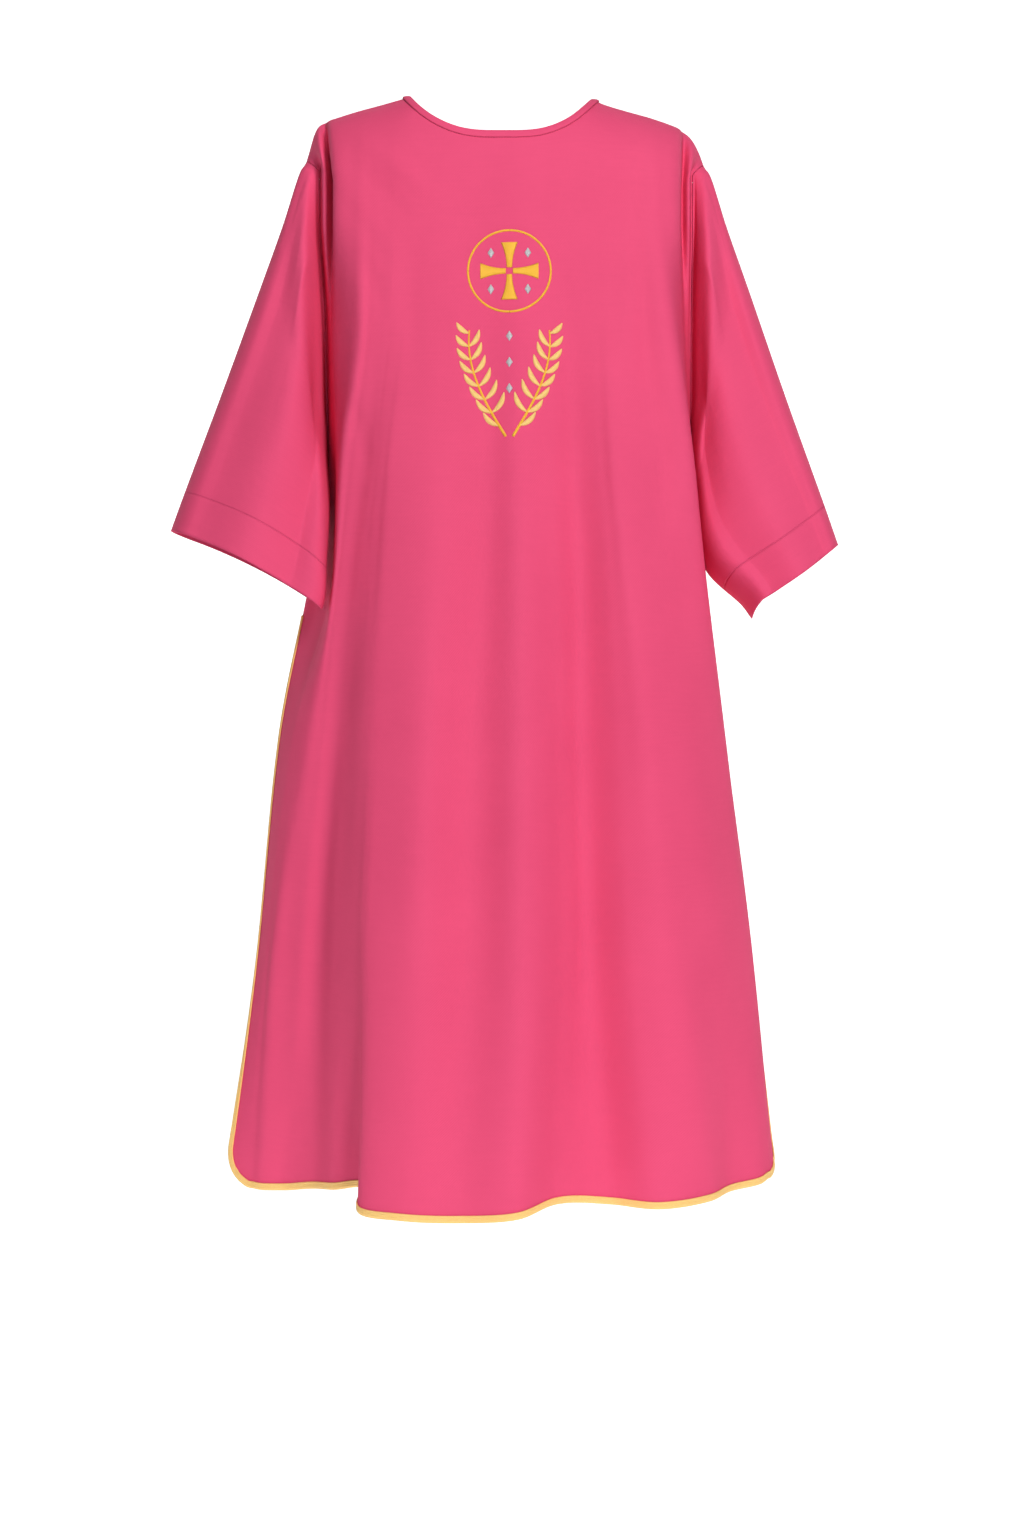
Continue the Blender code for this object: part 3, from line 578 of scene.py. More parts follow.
class Graph:
    """The node tree of one material, with a Principled shader as its surface."""

    def __init__(self, name: str) -> None:
        """Make the material called `name`.

        Args:
            name: Name of the material.
        """
        self.material = bpy.data.materials.new(name)
        self.material.use_nodes = True
        self.tree = self.material.node_tree
        self.shader = self.tree.nodes["Principled BSDF"]

    def add(self, kind: str, settings: dict, inputs: dict, output: str | int = 0) -> Shade:
        """Add a node.

        Args:
            kind: The node's type.
            settings: Its properties, which are set first.
            inputs: Values or links for its sockets, by name or number.
            output: The socket to return.

        Returns:
            The chosen output.
        """
        node = self.tree.nodes.new(kind)
        for key, value in settings.items():
            setattr(node, key, value)
        for key, value in inputs.items():
            self.join(node.inputs[key], value)
        return Shade(self, node.outputs[output])

    def join(self, socket: bpy.types.NodeSocket, value: Shade | float | tuple) -> None:
        """Link a shade to a socket, or set the socket to a constant.

        Args:
            socket: The input to set.
            value: A shade, or a constant.
        """
        if isinstance(value, Shade):
            self.tree.links.new(value.socket, socket)
        else:
            socket.default_value = value

    def surface(self, **values: Shade | float | tuple) -> None:
        """Set the shader's sockets; an underscore in a name stands for a space."""
        for key, value in values.items():
            self.join(self.shader.inputs[key.replace("_", " ")], value)

    def place(self) -> Shade:
        """The place on the flat cloth."""
        return self.add("ShaderNodeUVMap", {"uv_map": UV_NAME}, {}, "UV")

    def flat(self) -> tuple[Shade, Shade]:
        """The two coordinates of the flat cloth, in metres.

        Returns:
            The place across and the place along.
        """
        split = self.tree.nodes.new("ShaderNodeSeparateXYZ")
        self.join(split.inputs[0], self.place())
        return Shade(self, split.outputs[0]), Shade(self, split.outputs[1])

    def noise(self, scale: float, detail: float, stretch: tuple = (1, 1, 1)) -> Shade:
        """Soft noise about 0.5 over the flat cloth, in cells of 1 / scale metres."""
        place = self.add("ShaderNodeMapping", {}, {"Vector": self.place(), "Scale": stretch})
        return self.add("ShaderNodeTexNoise", {"noise_dimensions": "3D"},
                        {"Vector": place, "Scale": scale, "Detail": detail}, "Fac")

    def blend(self, share: Shade, first: tuple, second: tuple) -> Shade:
        """A colour between two.

        Args:
            share: How much of the second colour.
            first: Colour at 0.
            second: Colour at 1.

        Returns:
            The colour.
        """
        node = self.tree.nodes.new("ShaderNodeMix")
        node.data_type = "RGBA"
        sockets = [s for s in node.inputs if s.enabled]
        for socket, value in zip(sockets, (share, first, second)):
            self.join(socket, value)
        return Shade(self, next(s for s in node.outputs if s.enabled))

    def bump(self, height: Shade, metres: float) -> Shade:
        """A normal bent by a height of 0 to 1 that stands for `metres` of relief."""
        return self.add("ShaderNodeBump", {}, {"Height": height, "Distance": metres,
                                               "Strength": 1.0})


@dataclass(frozen=True)
class ClothFinish:
    """The rose twill.

    Attributes:
        name: Name of the material.
        light: Colour where the dye took lightly, and painted highlight on the twill lines.
        deep: Colour where it took fully, and painted shade between twill lines and at hem bends.
        pitch: Distance between twill lines, in metres.
        relief: Height of a twill line, in metres.
        turn_up: Depth of the hem turned up inside, in metres from the edge; none if 0.
        line_width: Half width of the groove at its bend, and of its painted shade, in metres.
        slope: How fast the twill lines count up across and along the cloth.
        drift_cells: Cells of the slow unevenness in a metre.
        yarn_cells: Cells of single yarns in a metre.
        slub_cells: Cells of slubs, where a yarn thickens, in a metre.
        pucker_cells: Cells of puckers in a metre.
    """

    name: str
    light: tuple
    deep: tuple
    pitch: float = 0.0015
    relief: float = 0.00016
    turn_up: float = 0.0
    line_width: float = 0.0013
    slope: tuple = (0.50, 0.87)
    drift_cells: float = 9.0
    yarn_cells: float = 1100.0
    slub_cells: float = 260.0
    pucker_cells: float = 46.0

    def make(self) -> bpy.types.Material:
        """The material: twill lines at 30 degrees, with slow and fine unevenness.

        The twill lines are painted lighter on their crowns and in shade between them.  The bend
        of the turned-up hem shows outside as a fine groove, darkened with painted shade, with the
        double cloth below it standing a little prouder.

        Returns:
            The material.
        """
        graph = Graph(self.name)
        u, v = graph.flat()
        # The sums below weigh the layers, from the slowest unevenness to single yarns.
        slow = graph.noise(self.drift_cells, 3.0)
        turns = 2 * math.pi / self.pitch
        across, along = (turns * part for part in self.slope)
        twill = (u * across + v * along + slow * 4.0).sine() * 0.5 + 0.5
        yarn = graph.noise(self.yarn_cells, 2.0, (0.4, 1.0, 1.0))
        slub = graph.noise(self.slub_cells, 2.0, (0.12, 1.0, 1.0))
        pucker = graph.noise(self.pucker_cells, 3.0)
        height = twill * 0.50 + yarn * 0.30 + slub * 0.25 + pucker * 2.2
        # Painted shade and highlight: the twill's share of the colour darkens between its lines
        # and lightens their crowns; the slow, yarn and slub shares are random dye tone.
        dye_and_shade = slow * 0.40 + yarn * 0.20 + twill * 0.24 + slub * 0.16
        if self.turn_up:
            gap = (v - self.turn_up) / self.line_width
            groove = (gap.absolute() - 0.15).clamp()
            height = height + groove * 5.0 + (0.5 - gap * 0.25).clamp() * 3.5
            # Painted shade: the colour darkens towards the deep one along the hem's bend.
            dye_and_shade = dye_and_shade * (groove * 0.85 + 0.15)
        graph.surface(Base_Color=graph.blend(dye_and_shade, self.deep, self.light),
                      Roughness=0.60 + yarn * 0.14,
                      Normal=graph.bump(height, self.relief),
                      Specular_IOR_Level=0.05)
        return graph.material


@dataclass(frozen=True)
class ThreadFinish:
    """Laid or spun thread.

    Attributes:
        name: Name of the material.
        light: Colour on the thread's crowns, painted as their highlight.
        deep: Colour between the threads, painted as the shade there.
        pitch: Distance between threads, in metres.
        slant: How far a thread leans, as metres along for a metre across.
        metal: How metallic the thread is.
        relief: Height of a thread, in metres.
        drift_cells: Cells of its unevenness in a metre.
    """

    name: str
    light: tuple
    deep: tuple
    pitch: float = 0.0008
    slant: float = 0.35
    metal: float = 0.25
    relief: float = 0.00018
    drift_cells: float = 160.0

    def make(self) -> bpy.types.Material:
        """The material: rounded threads side by side along the piece, with painted light and
        shade.

        Returns:
            The material.
        """
        graph = Graph(self.name)
        u, v = graph.flat()
        drift = graph.noise(self.drift_cells, 2.0)
        turns = math.pi / self.pitch
        thread = ((u + v * self.slant) * turns + drift * 2.0).sine().absolute()
        # Painted highlight on the threads' crowns and painted shade between them; the drift adds
        # random tone.
        graph.surface(Base_Color=graph.blend(thread * 0.7 + drift * 0.3, self.deep, self.light),
                      Roughness=0.36 + drift * 0.22,
                      Metallic=self.metal,
                      Normal=graph.bump(thread, self.relief),
                      Specular_IOR_Level=0.25)
        return graph.material


@dataclass
class Finishes:
    """All the materials of the garment."""

    cloth: bpy.types.Material = field(init=False)
    cuffed: bpy.types.Material = field(init=False)
    braid: bpy.types.Material = field(init=False)
    gold: bpy.types.Material = field(init=False)
    pale: bpy.types.Material = field(init=False)
    silver: bpy.types.Material = field(init=False)
    sewing: bpy.types.Material = field(init=False)

    def __post_init__(self) -> None:
        """Make each material."""
        rose = ((0.88, 0.098, 0.222, 1), (0.70, 0.066, 0.165, 1))
        self.cloth = ClothFinish("rose_twill", *rose).make()
        self.cuffed = ClothFinish("rose_twill_cuffed", *rose, turn_up=CUT.cuff_hem).make()
        self.braid = ThreadFinish("gold_braid", (1.0, 0.74, 0.30, 1), (0.95, 0.46, 0.08, 1),
                                  pitch=0.0016, slant=0.9, metal=0.0).make()
        self.gold = ThreadFinish("gold_thread", (1.0, 0.62, 0.07, 1), (0.90, 0.38, 0.02, 1),
                                 metal=0.1).make()
        self.pale = ThreadFinish("pale_gold_thread", (1.0, 0.74, 0.30, 1),
                                 (0.92, 0.50, 0.09, 1), metal=0.1).make()
        self.silver = ThreadFinish("silver_thread", (0.72, 0.72, 0.74, 1),
                                   (0.34, 0.34, 0.38, 1)).make()
        self.sewing = ThreadFinish("sewing_thread", (0.62, 0.06, 0.16, 1), (0.40, 0.03, 0.09, 1),
                                   pitch=0.0006, metal=0.0, relief=0.00006).make()


# ---------------------------------------------------------------- the cloth
@dataclass
class Panel:
    """The front or back sheet, as a surface over (share across, height).

    Attributes:
        drapes: Its drape lines.
        facing: Whether it is the front or the back.
        neck_reach: Sine of how far the neckline turns down at its middle.
        creases: Its creases.
        density: Pairs of share across and relative closeness of columns.
        columns: Number of columns.
        shoulder_rows: Number of rows from the top edge to where the cloth hangs upright.
        armhole_rows: Number of rows from there to the armpit.
        skirt_rows: Number of rows from the armpit to the hem.
        crowding: Power by which the shoulder's rows crowd towards the top edge.
        edge_fade: Distance from the side edges over which creases fade in, in metres.
        top_fade: Distance from the top edge over which they do, in metres.
        braid_drop: How far below the slit's top its braid starts, in metres.
    """

    drapes: Sequence[Drape]
    facing: Facing
    neck_reach: float
    creases: Sequence[Crease]
    density: Sequence[tuple]
    columns: int = 204
    shoulder_rows: int = 34
    armhole_rows: int = 58
    skirt_rows: int = 142
    crowding: float = 1.25
    edge_fade: float = 0.030
    top_fade: float = 0.022
    braid_drop: float = 0.004

    def __post_init__(self) -> None:
        """Read the drape lines into arrays and lay out the grid."""
        self.knots = [line.across for line in self.drapes]
        self.crests = np.array([line.crest for line in self.drapes]) * MM
        self.hems = np.array([line.hem[2] for line in self.drapes]) * MM
        levels = [[line.chest, line.ribs, line.armpit, line.elbow, line.thigh, line.knee,
                   line.hem[:2]] for line in self.drapes]
        self.levels = np.array(levels) * MM
        self.neck_ends = self.across_at(np.array([-1, 1]) * CUT.neck_half_width)
        self.across = self.lay_columns()
        self.sheet = self.lay_sheet()

    def crest(self, across: Array) -> Array:
        """Crest x, crest z and shoulder fall at each share across.

        Args:
            across: Share across the cloth of each place.

        Returns:
            One row of three for each share.
        """
        x, fall = smooth_through(self.knots, self.crests, across).T
        line_x, line_z = np.array(CREST_LINE).T * MM
        return np.column_stack([x, smooth_through(line_x, line_z, x), fall])

    def hem_z(self, across: Array) -> Array:
        """Height of the hem at each share across."""
        return smooth_through(self.knots, self.hems, across)

    def hang(self, across: Array, z: Array) -> Array:
        """Points of the hanging cloth at each share across and height.

        Args:
            across: Share across the cloth of each place.
            z: Height of each place.

        Returns:
            One point for each place.
        """
        by_level = smooth_through(self.knots, self.levels, across).transpose(1, 0, 2)
        spots = smooth_through(-np.array(LEVEL_Z), by_level, -z, even=True, own=True)
        return np.column_stack([spots[:, 0], spots[:, 1] + self.facing * CUT.seam_gap / 2, z])

    def shoulder(self, across: Array, turn: Array) -> Array:
        """Points on the shoulder, where the cloth has turned by `turn` from level to upright.

        Args:
            across: Share across the cloth of each place.
            turn: Turn of each place, in radians.

        Returns:
            One point for each place.
        """
        crest = self.crest(across)
        z = crest[:, 1] - crest[:, 2] * (1 - np.cos(turn))
        spots = self.hang(across, z)
        x = crest[:, 0] + (spots[:, 0] - crest[:, 0]) * (1 - np.cos(turn))
        start = self.facing * CUT.seam_gap / 2
        y = (spots[:, 1] - start) * np.sin(turn) + start
        return np.column_stack([x, y, z])

    def across_at(self, x: Array) -> Array:
        """Share across at which the crest has the given x."""
        shares = np.linspace(0, 1, TABLE_LENGTH)
        return np.interp(x, self.crest(shares)[:, 0], shares)

    def neck_columns(self, across: Array) -> list[int]:
        """Numbers of the columns nearest to the neck's ends."""
        return [int(np.argmin(np.abs(across - end))) for end in self.neck_ends]

    def lay_columns(self) -> Array:
        """Shares across of the columns, closer where the folds are, with the neck's ends.

        Returns:
            Shares across, from 0 to 1.
        """
        places = np.linspace(0, 1, TABLE_LENGTH)
        spots, closeness = zip(*self.density)
        total = np.cumsum(np.interp(places, spots, closeness))
        total = (total - total[0]) / (total[-1] - total[0])
        across = np.interp(np.linspace(0, 1, self.columns), total, places)
        near = self.neck_columns(across)
        shift = np.interp(np.arange(self.columns), [0, *near, self.columns - 1],
                          [0, *(self.neck_ends - across[near]), 0])
        return across + shift

    def neckline(self, shares: Array) -> tuple[Array, Array]:
        """Share across and turn of the neckline at shares of the way along it.

        The neckline is a superellipse: x goes as a power of the angle's cosine, and the sine of
        the turn as the same power of its sine.

        Args:
            shares: Shares of the way from left to right.

        Returns:
            Share across and turn for each.
        """
        angle = np.linspace(math.pi, 0, NECK_TABLE_LENGTH)
        power = 2 / CUT.neck_squareness
        x = CUT.neck_half_width * np.sign(np.cos(angle)) * np.abs(np.cos(angle)) ** power
        turn = np.arcsin(self.neck_reach * np.clip(np.sin(angle), 0, 1) ** power)
        across = self.across_at(x)
        run = run_along(self.shoulder(across, turn))
        length, width = run / run[-1], (x - x[0]) / (x[-1] - x[0])
        wanted = (shares + np.interp(shares, width, length)) / 2
        return np.interp(wanted, length, across), np.interp(wanted, length, turn)

    def neck_start(self, across: Array) -> tuple[Array, Array]:
        """Share across and turn at which the columns between the neck's ends start.

        Args:
            across: Share across of each column.

        Returns:
            Share across and turn for each.
        """
        x = self.crest(across)[:, 0]
        return self.neckline((x - x[0]) / (x[-1] - x[0]))

    def round_corners(self, across: Array, above: Array) -> tuple[Array, Array]:
        """Bend the square bottom corners of the cloth's grid into quarter circles.

        Args:
            across: Share across the cloth of each place.
            above: Distance of each place above the hem.

        Returns:
            Both, moved.
        """
        across, above = across.copy(), above.copy()
        radius = CUT.corner_radius
        for side in (0, 1):
            inset = across * CUT.hem_width if side == 0 else (1 - across) * CUT.hem_width
            p, q = radius - inset, radius - above
            near = (p > 0) & (q > 0)
            reach = np.maximum(p, q)[near]
            swing = math.pi / 4 * np.minimum(p, q)[near] / np.maximum(reach, TOLERANCE)
            wide = p[near] >= q[near]
            along_p = np.where(wide, np.cos(swing), np.sin(swing)) * reach
            along_q = np.where(wide, np.sin(swing), np.cos(swing)) * reach
            new_inset = (radius - along_p) / CUT.hem_width
            across[near] = new_inset if side == 0 else 1 - new_inset
            above[near] = radius - along_q
        return across, above

    def lay_sheet(self) -> Sheet:
        """Grid of the panel, from the top edge to the hem, with its creases raised.

        From the crest the cloth turns upright over the shoulder, then hangs to the armpit and
        on to the hem.  The columns inside the neck start on the neckline.

        Returns:
            The sheet.
        """
        across = self.across
        first, last = self.neck_ends
        inside = (across >= first - TOLERANCE) & (across <= last + TOLERANCE)
        start_across, start_turn = across.copy(), np.zeros(len(across))
        start_across[inside], start_turn[inside] = self.neck_start(across[inside])
        rows, spots = [], []
        for share in np.linspace(0, 1, self.shoulder_rows) ** self.crowding:
            moved = start_across + (across - start_across) * share
            rows.append(self.shoulder(moved, start_turn + (math.pi / 2 - start_turn) * share))
            spots.append(moved)
        crest = self.crest(across)
        fallen = crest[:, 1] - crest[:, 2]
        for share in np.linspace(0, 1, self.armhole_rows + 1)[1:]:
            rows.append(self.hang(across, fallen + (CUT.armpit_z - fallen) * share))
            spots.append(across)
        self.armpit_row = len(rows) - 1
        lift = CUT.armpit_z - self.hem_z(across)
        for share in np.linspace(0, 1, self.skirt_rows + 1)[1:]:
            bent, above = self.round_corners(across, lift * (1 - share))
            rows.append(self.hang(bent, self.hem_z(bent) + above))
            spots.append(bent)
        points = np.array(rows)
        over = run_along(points.transpose(1, 0, 2)).T
        middle = len(across) // 2
        run = run_along(points)
        down = run - run[self.armpit_row] + run[self.armpit_row, 0]
        flat = np.stack([over - over[:, middle:middle + 1], -down], axis=-1)
        sheet = Sheet(points, flat, flipped=self.facing > 0)
        return self.raise_creases(sheet, np.array(spots), run)

    def raise_creases(self, sheet: Sheet, across: Array, run: Array) -> Sheet:
        """Move the cloth along its normals by its creases, which fade out at seams and edges.

        Args:
            sheet: The smooth cloth.
            across: Share across of each of its points.
            run: Distance of each of its points from the top edge.

        Returns:
            The same sheet, creased.
        """
        points = sheet.points
        height = crease_height(self.creases, points[..., 0], points[..., 2])
        depth = np.minimum(across, 1 - across) * CUT.hem_width
        height *= ease(depth / self.edge_fade) * ease(run / self.top_fade)
        sheet.points = points + sheet.normals() * height[..., None]
        return sheet

    def surface_at(self, x: Array, z: Array) -> Array:
        """Points of the cloth, creases included, at places seen from in front of it.

        The share across at each place is found by halving: the cloth's x rises with its share
        across wherever the embroidery lies.

        Args:
            x: x of each place.
            z: Height of each place.

        Returns:
            One point for each place.
        """
        low, high = np.full(x.shape, self.neck_ends[0]), np.full(x.shape, self.neck_ends[1])
        for _ in range(HALVINGS):
            middle = (low + high) / 2
            left = self.hang(middle, z)[:, 0] < x
            low, high = np.where(left, middle, low), np.where(left, high, middle)
        points = self.hang((low + high) / 2, z)
        height = crease_height(self.creases, points[:, 0], points[:, 2])
        points[:, 1] += self.facing * (height + CUT.wall / 2)
        return points

    def neck_edge(self) -> tuple[Array, Array, Array]:
        """Points, normals and inward directions along the neckline, left to right.

        Returns:
            Three arrays, one row for each column.
        """
        first, last = self.neck_columns(self.across)
        edge = self.sheet.points[0, first:last + 1]
        across, turn = self.neck_start(self.across[first:last + 1])
        step = 1e-4
        sideways = self.shoulder(across + step, turn) - self.shoulder(across - step, turn)
        less = turn - np.minimum(turn, step)
        down = self.shoulder(across, turn + step) - self.shoulder(across, less)
        normals = unit(np.cross(down, sideways)) * -self.facing
        upright = np.column_stack([0 * turn, self.facing * np.sin(turn), np.cos(turn)])
        normals = unit(normals * np.sign(np.sum(normals * upright, axis=1))[:, None] + upright)
        along = unit(np.gradient(edge, axis=0))
        inward = unit(np.cross(along, normals)) * -self.facing
        return edge, normals, inward

    def trim_edge(self, spacing: float) -> tuple[Array, Array, Array]:
        """Points, normals and outward directions along the slits, corners and hem.

        Args:
            spacing: Distance between the points, in metres.

        Returns:
            Three arrays, one row for each point.
        """
        grid, normals = self.sheet.points, self.sheet.normals()
        rows, columns = grid.shape[:2]
        start = CUT.slit_top_z - self.braid_drop
        below = [row for row in range(rows - 1) if grid[row, 0, 2] < start]
        outer = [(row, 0) for row in below] + [(rows - 1, column) for column in range(columns)]
        outer += [(row, columns - 1) for row in reversed(below)]
        pick = tuple(np.array(outer).T)
        run = run_along(grid[pick])
        wanted = np.linspace(0, run[-1], round(run[-1] / spacing) + 1)
        edge = read_line(wanted, run, grid[pick])
        normal = unit(read_line(wanted, run, normals[pick]))
        out = unit(np.cross(np.gradient(edge, axis=0), normal)) * -self.facing
        return edge, normal, out


@dataclass
class Sleeve:
    """A sleeve, lofted from the armhole to the cuff.

    Attributes:
        front: The front panel.
        back: The back panel.
        rings: Its rings past the head.
        side: Which side it is on.
        creases: Its creases.
        seam_hold: How much of the head's standing away is kept at the underarm seam.
        rows: Number of rings of points.
        half_columns: Number of columns from the top edge to the seam, on each half.
        evenness: How evenly they stand; what is left to 1 crowds them at both ends.
        stage_start: How closely the rings stand at the armhole, against 1 when even.
        top_lean: Way in which the top edge leaves the shoulder, for the right sleeve.
        top_share: Share of the half over which that way turns level.
        open_start: Share of the half at which the head starts to open.
        open_run: Share of the half over which it opens fully.
        edge_share: Share of the half over which the folded edges are rounded.
        hold_start: Share of the half from which the seam is held to the panels.
        knots: Shares of the half at which a ring gives how far its walls stand off.
        crease_span: Metres that the half's length counts as, when creases are measured.
        armhole_fade: Distance from the armhole over which creases fade in, in metres.
    """

    front: Panel
    back: Panel
    rings: Sequence[Ring]
    side: Side
    creases: Sequence[Crease]
    seam_hold: float
    rows: int = 112
    half_columns: int = 96
    evenness: float = 0.55
    stage_start: float = 0.35
    top_lean: tuple = (0.35, 0.0, -0.94)
    top_share: float = 0.16
    open_start: float = 0.10
    open_run: float = 0.30
    edge_share: float = 0.14
    hold_start: float = 0.78
    knots: tuple = (0.2, 0.5, 0.8)
    crease_span: float = 0.42
    armhole_fade: float = 0.020

    def __post_init__(self) -> None:
        """Loft the sleeve."""
        self.sheet = self.lay_sheet()

    def half_loop(self, panel: Panel) -> Array:
        """One panel's armhole edge from the shoulder to the armpit.

        Args:
            panel: The panel.

        Returns:
            One point for each column of the half.
        """
        line = panel.sheet.points[:panel.armpit_row + 1, 0 if self.side < 0 else -1]
        run = run_along(line)
        return read_line(self.half_shares() * run[-1], run, line)

    def half_shares(self) -> Array:
        """Shares from top edge to seam, closer at both ends."""
        even = np.linspace(0, 1, self.half_columns + 1)
        return even * self.evenness + ease(even) * (1 - self.evenness)

    def loop(self) -> Array:
        """Armhole edge from the shoulder down the front to the armpit and up the back."""
        down, up = self.half_loop(self.front), self.half_loop(self.back)
        return np.vstack([[(down[0] + up[0]) / 2], down[1:-1], [(down[-1] + up[-1]) / 2],
                          up[-2:0:-1]])

    def rounded_edge(self, share: Array) -> Array:
        """0 on the folded edges of a flattened tube, 1 away from them, round between."""
        near = np.minimum(share, 1 - share) / self.edge_share
        return np.sqrt(np.clip(1 - (1 - np.minimum(near, 1)) ** 2, 0, 1))

    def ring_points(self, ring: Ring, share: Array, is_front: Array) -> Array:
        """Points of one ring at each share from top edge to seam.

        Args:
            ring: The ring.
            share: Share of the half of each column.
            is_front: Whether each column is on the front half.

        Returns:
            One point for each column.
        """
        top, under = np.array(ring.top) * MM, np.array(ring.under) * MM
        spots = top + (under - top) * share[:, None]
        depths = np.array([ring.front, ring.back]).T * MM
        front, back = smooth_through(self.knots, depths, share).T
        edge = self.rounded_edge(share)
        spots[:, 1] += np.where(is_front, -front, back) * edge
        spots[:, 2] -= ring.dip * MM * (1 - edge) * np.clip((share - 0.5) * 2, 0, 1)
        spots[:, 2] += ring.rise * MM * np.sin(math.pi * share)
        return spots

    def head_rings(self, share: Array, is_front: Array) -> list[Array]:
        """Rings of the head, which stand away from the armhole and open as they go.

        Args:
            share: Share of the half of each column.
            is_front: Whether each column is on the front half.

        Returns:
            One ring of points for each row of SLEEVE_HEAD.
        """
        loop = self.loop()
        lean = np.array(self.top_lean) * (self.side, 1, 1)
        turned = np.clip(share / self.top_share, 0, 1)[:, None]
        away = unit(lean * (1 - turned) + np.array([self.side, 0.0, 0.0]) * turned)
        start = loop + away * CUT.seam_gap
        opened = np.clip((share - self.open_start) / self.open_run, 0, 1)
        opened = opened * self.rounded_edge(share)
        opening = np.zeros_like(loop)
        opening[:, 1] = np.where(is_front, -opened, opened)
        late = ease((share - self.hold_start) / (1 - self.hold_start))[:, None]
        held = away * (1 - (1 - self.seam_hold) * late)
        return [start + (held * head.away + opening * head.opening) * MM
                for head in SLEEVE_HEAD]

    def lay_sheet(self) -> Sheet:
        """Grid of the sleeve, rings from the armhole to the cuff, with its creases raised.

        Returns:
            The sheet.
        """
        half = self.half_shares()
        share = np.concatenate([half, half[-2:0:-1]])
        is_front = np.arange(len(share)) <= self.half_columns
        sections = self.head_rings(share, is_front)
        sections += [self.ring_points(ring, share, is_front) for ring in self.rings]
        stations = [row.along for row in (*SLEEVE_HEAD, *self.rings)]
        even = np.linspace(0, 1, self.rows)
        stages = even * (self.stage_start + (1 - self.stage_start) * even)
        points = smooth_through(stations, np.array(sections), stages)
        around = run_along(np.vstack([points[-1], points[-1, :1]]))
        along = run_along(points)
        closed = np.hstack([along, along[:, :1]])
        flat = np.stack([np.broadcast_to(around, closed.shape), closed[-1] - closed], axis=-1)
        sheet = Sheet(points, flat, closed=True, flipped=self.side < 0)
        round_share = np.where(is_front, share, 2 - share)
        places, lengths = (np.broadcast_to(shares * self.crease_span, along.shape)
                           for shares in (round_share, stages[:, None]))
        height = crease_height(self.creases, places, lengths, self.crease_span * MM)
        height *= ease(along / self.armhole_fade)
        sheet.points = points + sheet.normals() * height[..., None]
        return sheet

    def hem_line(self, depth: float) -> tuple[Array, Array]:
        """Points and normals on the outside, `depth` metres in from the cuff's edge.

        Args:
            depth: Distance from the cuff, in metres.

        Returns:
            Two arrays, one row for each column.
        """
        sheet, normals = self.sheet, self.sheet.normals()
        left = sheet.flat[:, :-1, 1]
        row = np.argmax(left < depth, axis=0)
        column = np.arange(left.shape[1])
        above, below = left[row - 1, column], left[row, column]
        share = ((above - depth) / (above - below))[:, None]
        spots, ups = (grid[row - 1, column] * (1 - share) + grid[row, column] * share
                      for grid in (sheet.points, normals))
        ups = unit(ups)
        return spots + ups * CUT.wall / 2, ups


# ---------------------------------------------------------------- sewing and trimming
@dataclass
class NeckBinding:
    """The self-fabric strip folded over the neckline.

    Attributes:
        front: The front panel.
        back: The back panel.
        cloth_gap: Space between cloth and strip, in metres.
        thickness: Thickness of the strip, in metres.
        ditch_gap: Distance from the strip's edge to its sewing line, in metres.
    """

    front: Panel
    back: Panel
    cloth_gap: float = 0.0003
    thickness: float = 0.0011
    ditch_gap: float = 0.0005

    def path(self) -> tuple[Array, Array, Array]:
        """Edge, normals and inward directions round the neck, along the front and back again.

        Returns:
            Three arrays, one row for each point.
        """
        edge, normals, inward = (
            np.vstack([(fore[:1] + aft[:1]) / 2, fore[1:-1], (fore[-1:] + aft[-1:]) / 2,
                       aft[-2:0:-1]])
            for fore, aft in zip(self.front.neck_edge(), self.back.neck_edge()))
        return edge, unit(normals), unit(inward)

    def ditch(self) -> tuple[Array, Array]:
        """Points and normals of the sewing line along the strip's outer edge.

        Returns:
            Two arrays, one row for each point.
        """
        edge, normals, inward = self.path()
        out = CUT.binding_width + self.ditch_gap
        return edge + inward * out + normals * CUT.wall / 2, normals

    def build(self, material: bpy.types.Material) -> bpy.types.Object:
        """Fold the strip: up the outside, over the edge and down the inside.

        The profile starts at the outer edge, crosses the outside, turns round the neckline, and
        comes back along the inside and between strip and cloth.

        Args:
            material: The finish.

        Returns:
            The object.
        """
        edge, normals, inward = self.path()
        lift = CUT.wall / 2 + self.cloth_gap
        top = lift + self.thickness
        width = CUT.binding_width
        profile = [(width, lift * 0.4), (width + 0.0004, top * 0.75), (width - 0.0006, top)]
        profile += [(width * share, top + 0.0004 * math.sin(math.pi * share))
                    for share in (0.8, 0.6, 0.4, 0.2)]
        profile += [(-top * math.sin(a) * 1.1, top * math.cos(a))
                    for a in np.linspace(0.15, math.pi - 0.15, 9)]
        profile += [(width * share, -top) for share in (0.3, 0.6, 0.95)]
        profile += [(width, -lift), (width * 0.5, -lift), (0.0006, -lift), (0.0002, 0.0),
                    (0.0006, lift), (width * 0.5, lift)]
        return sweep("neck_binding_cloth", carry(profile, edge, inward, normals), True, material)


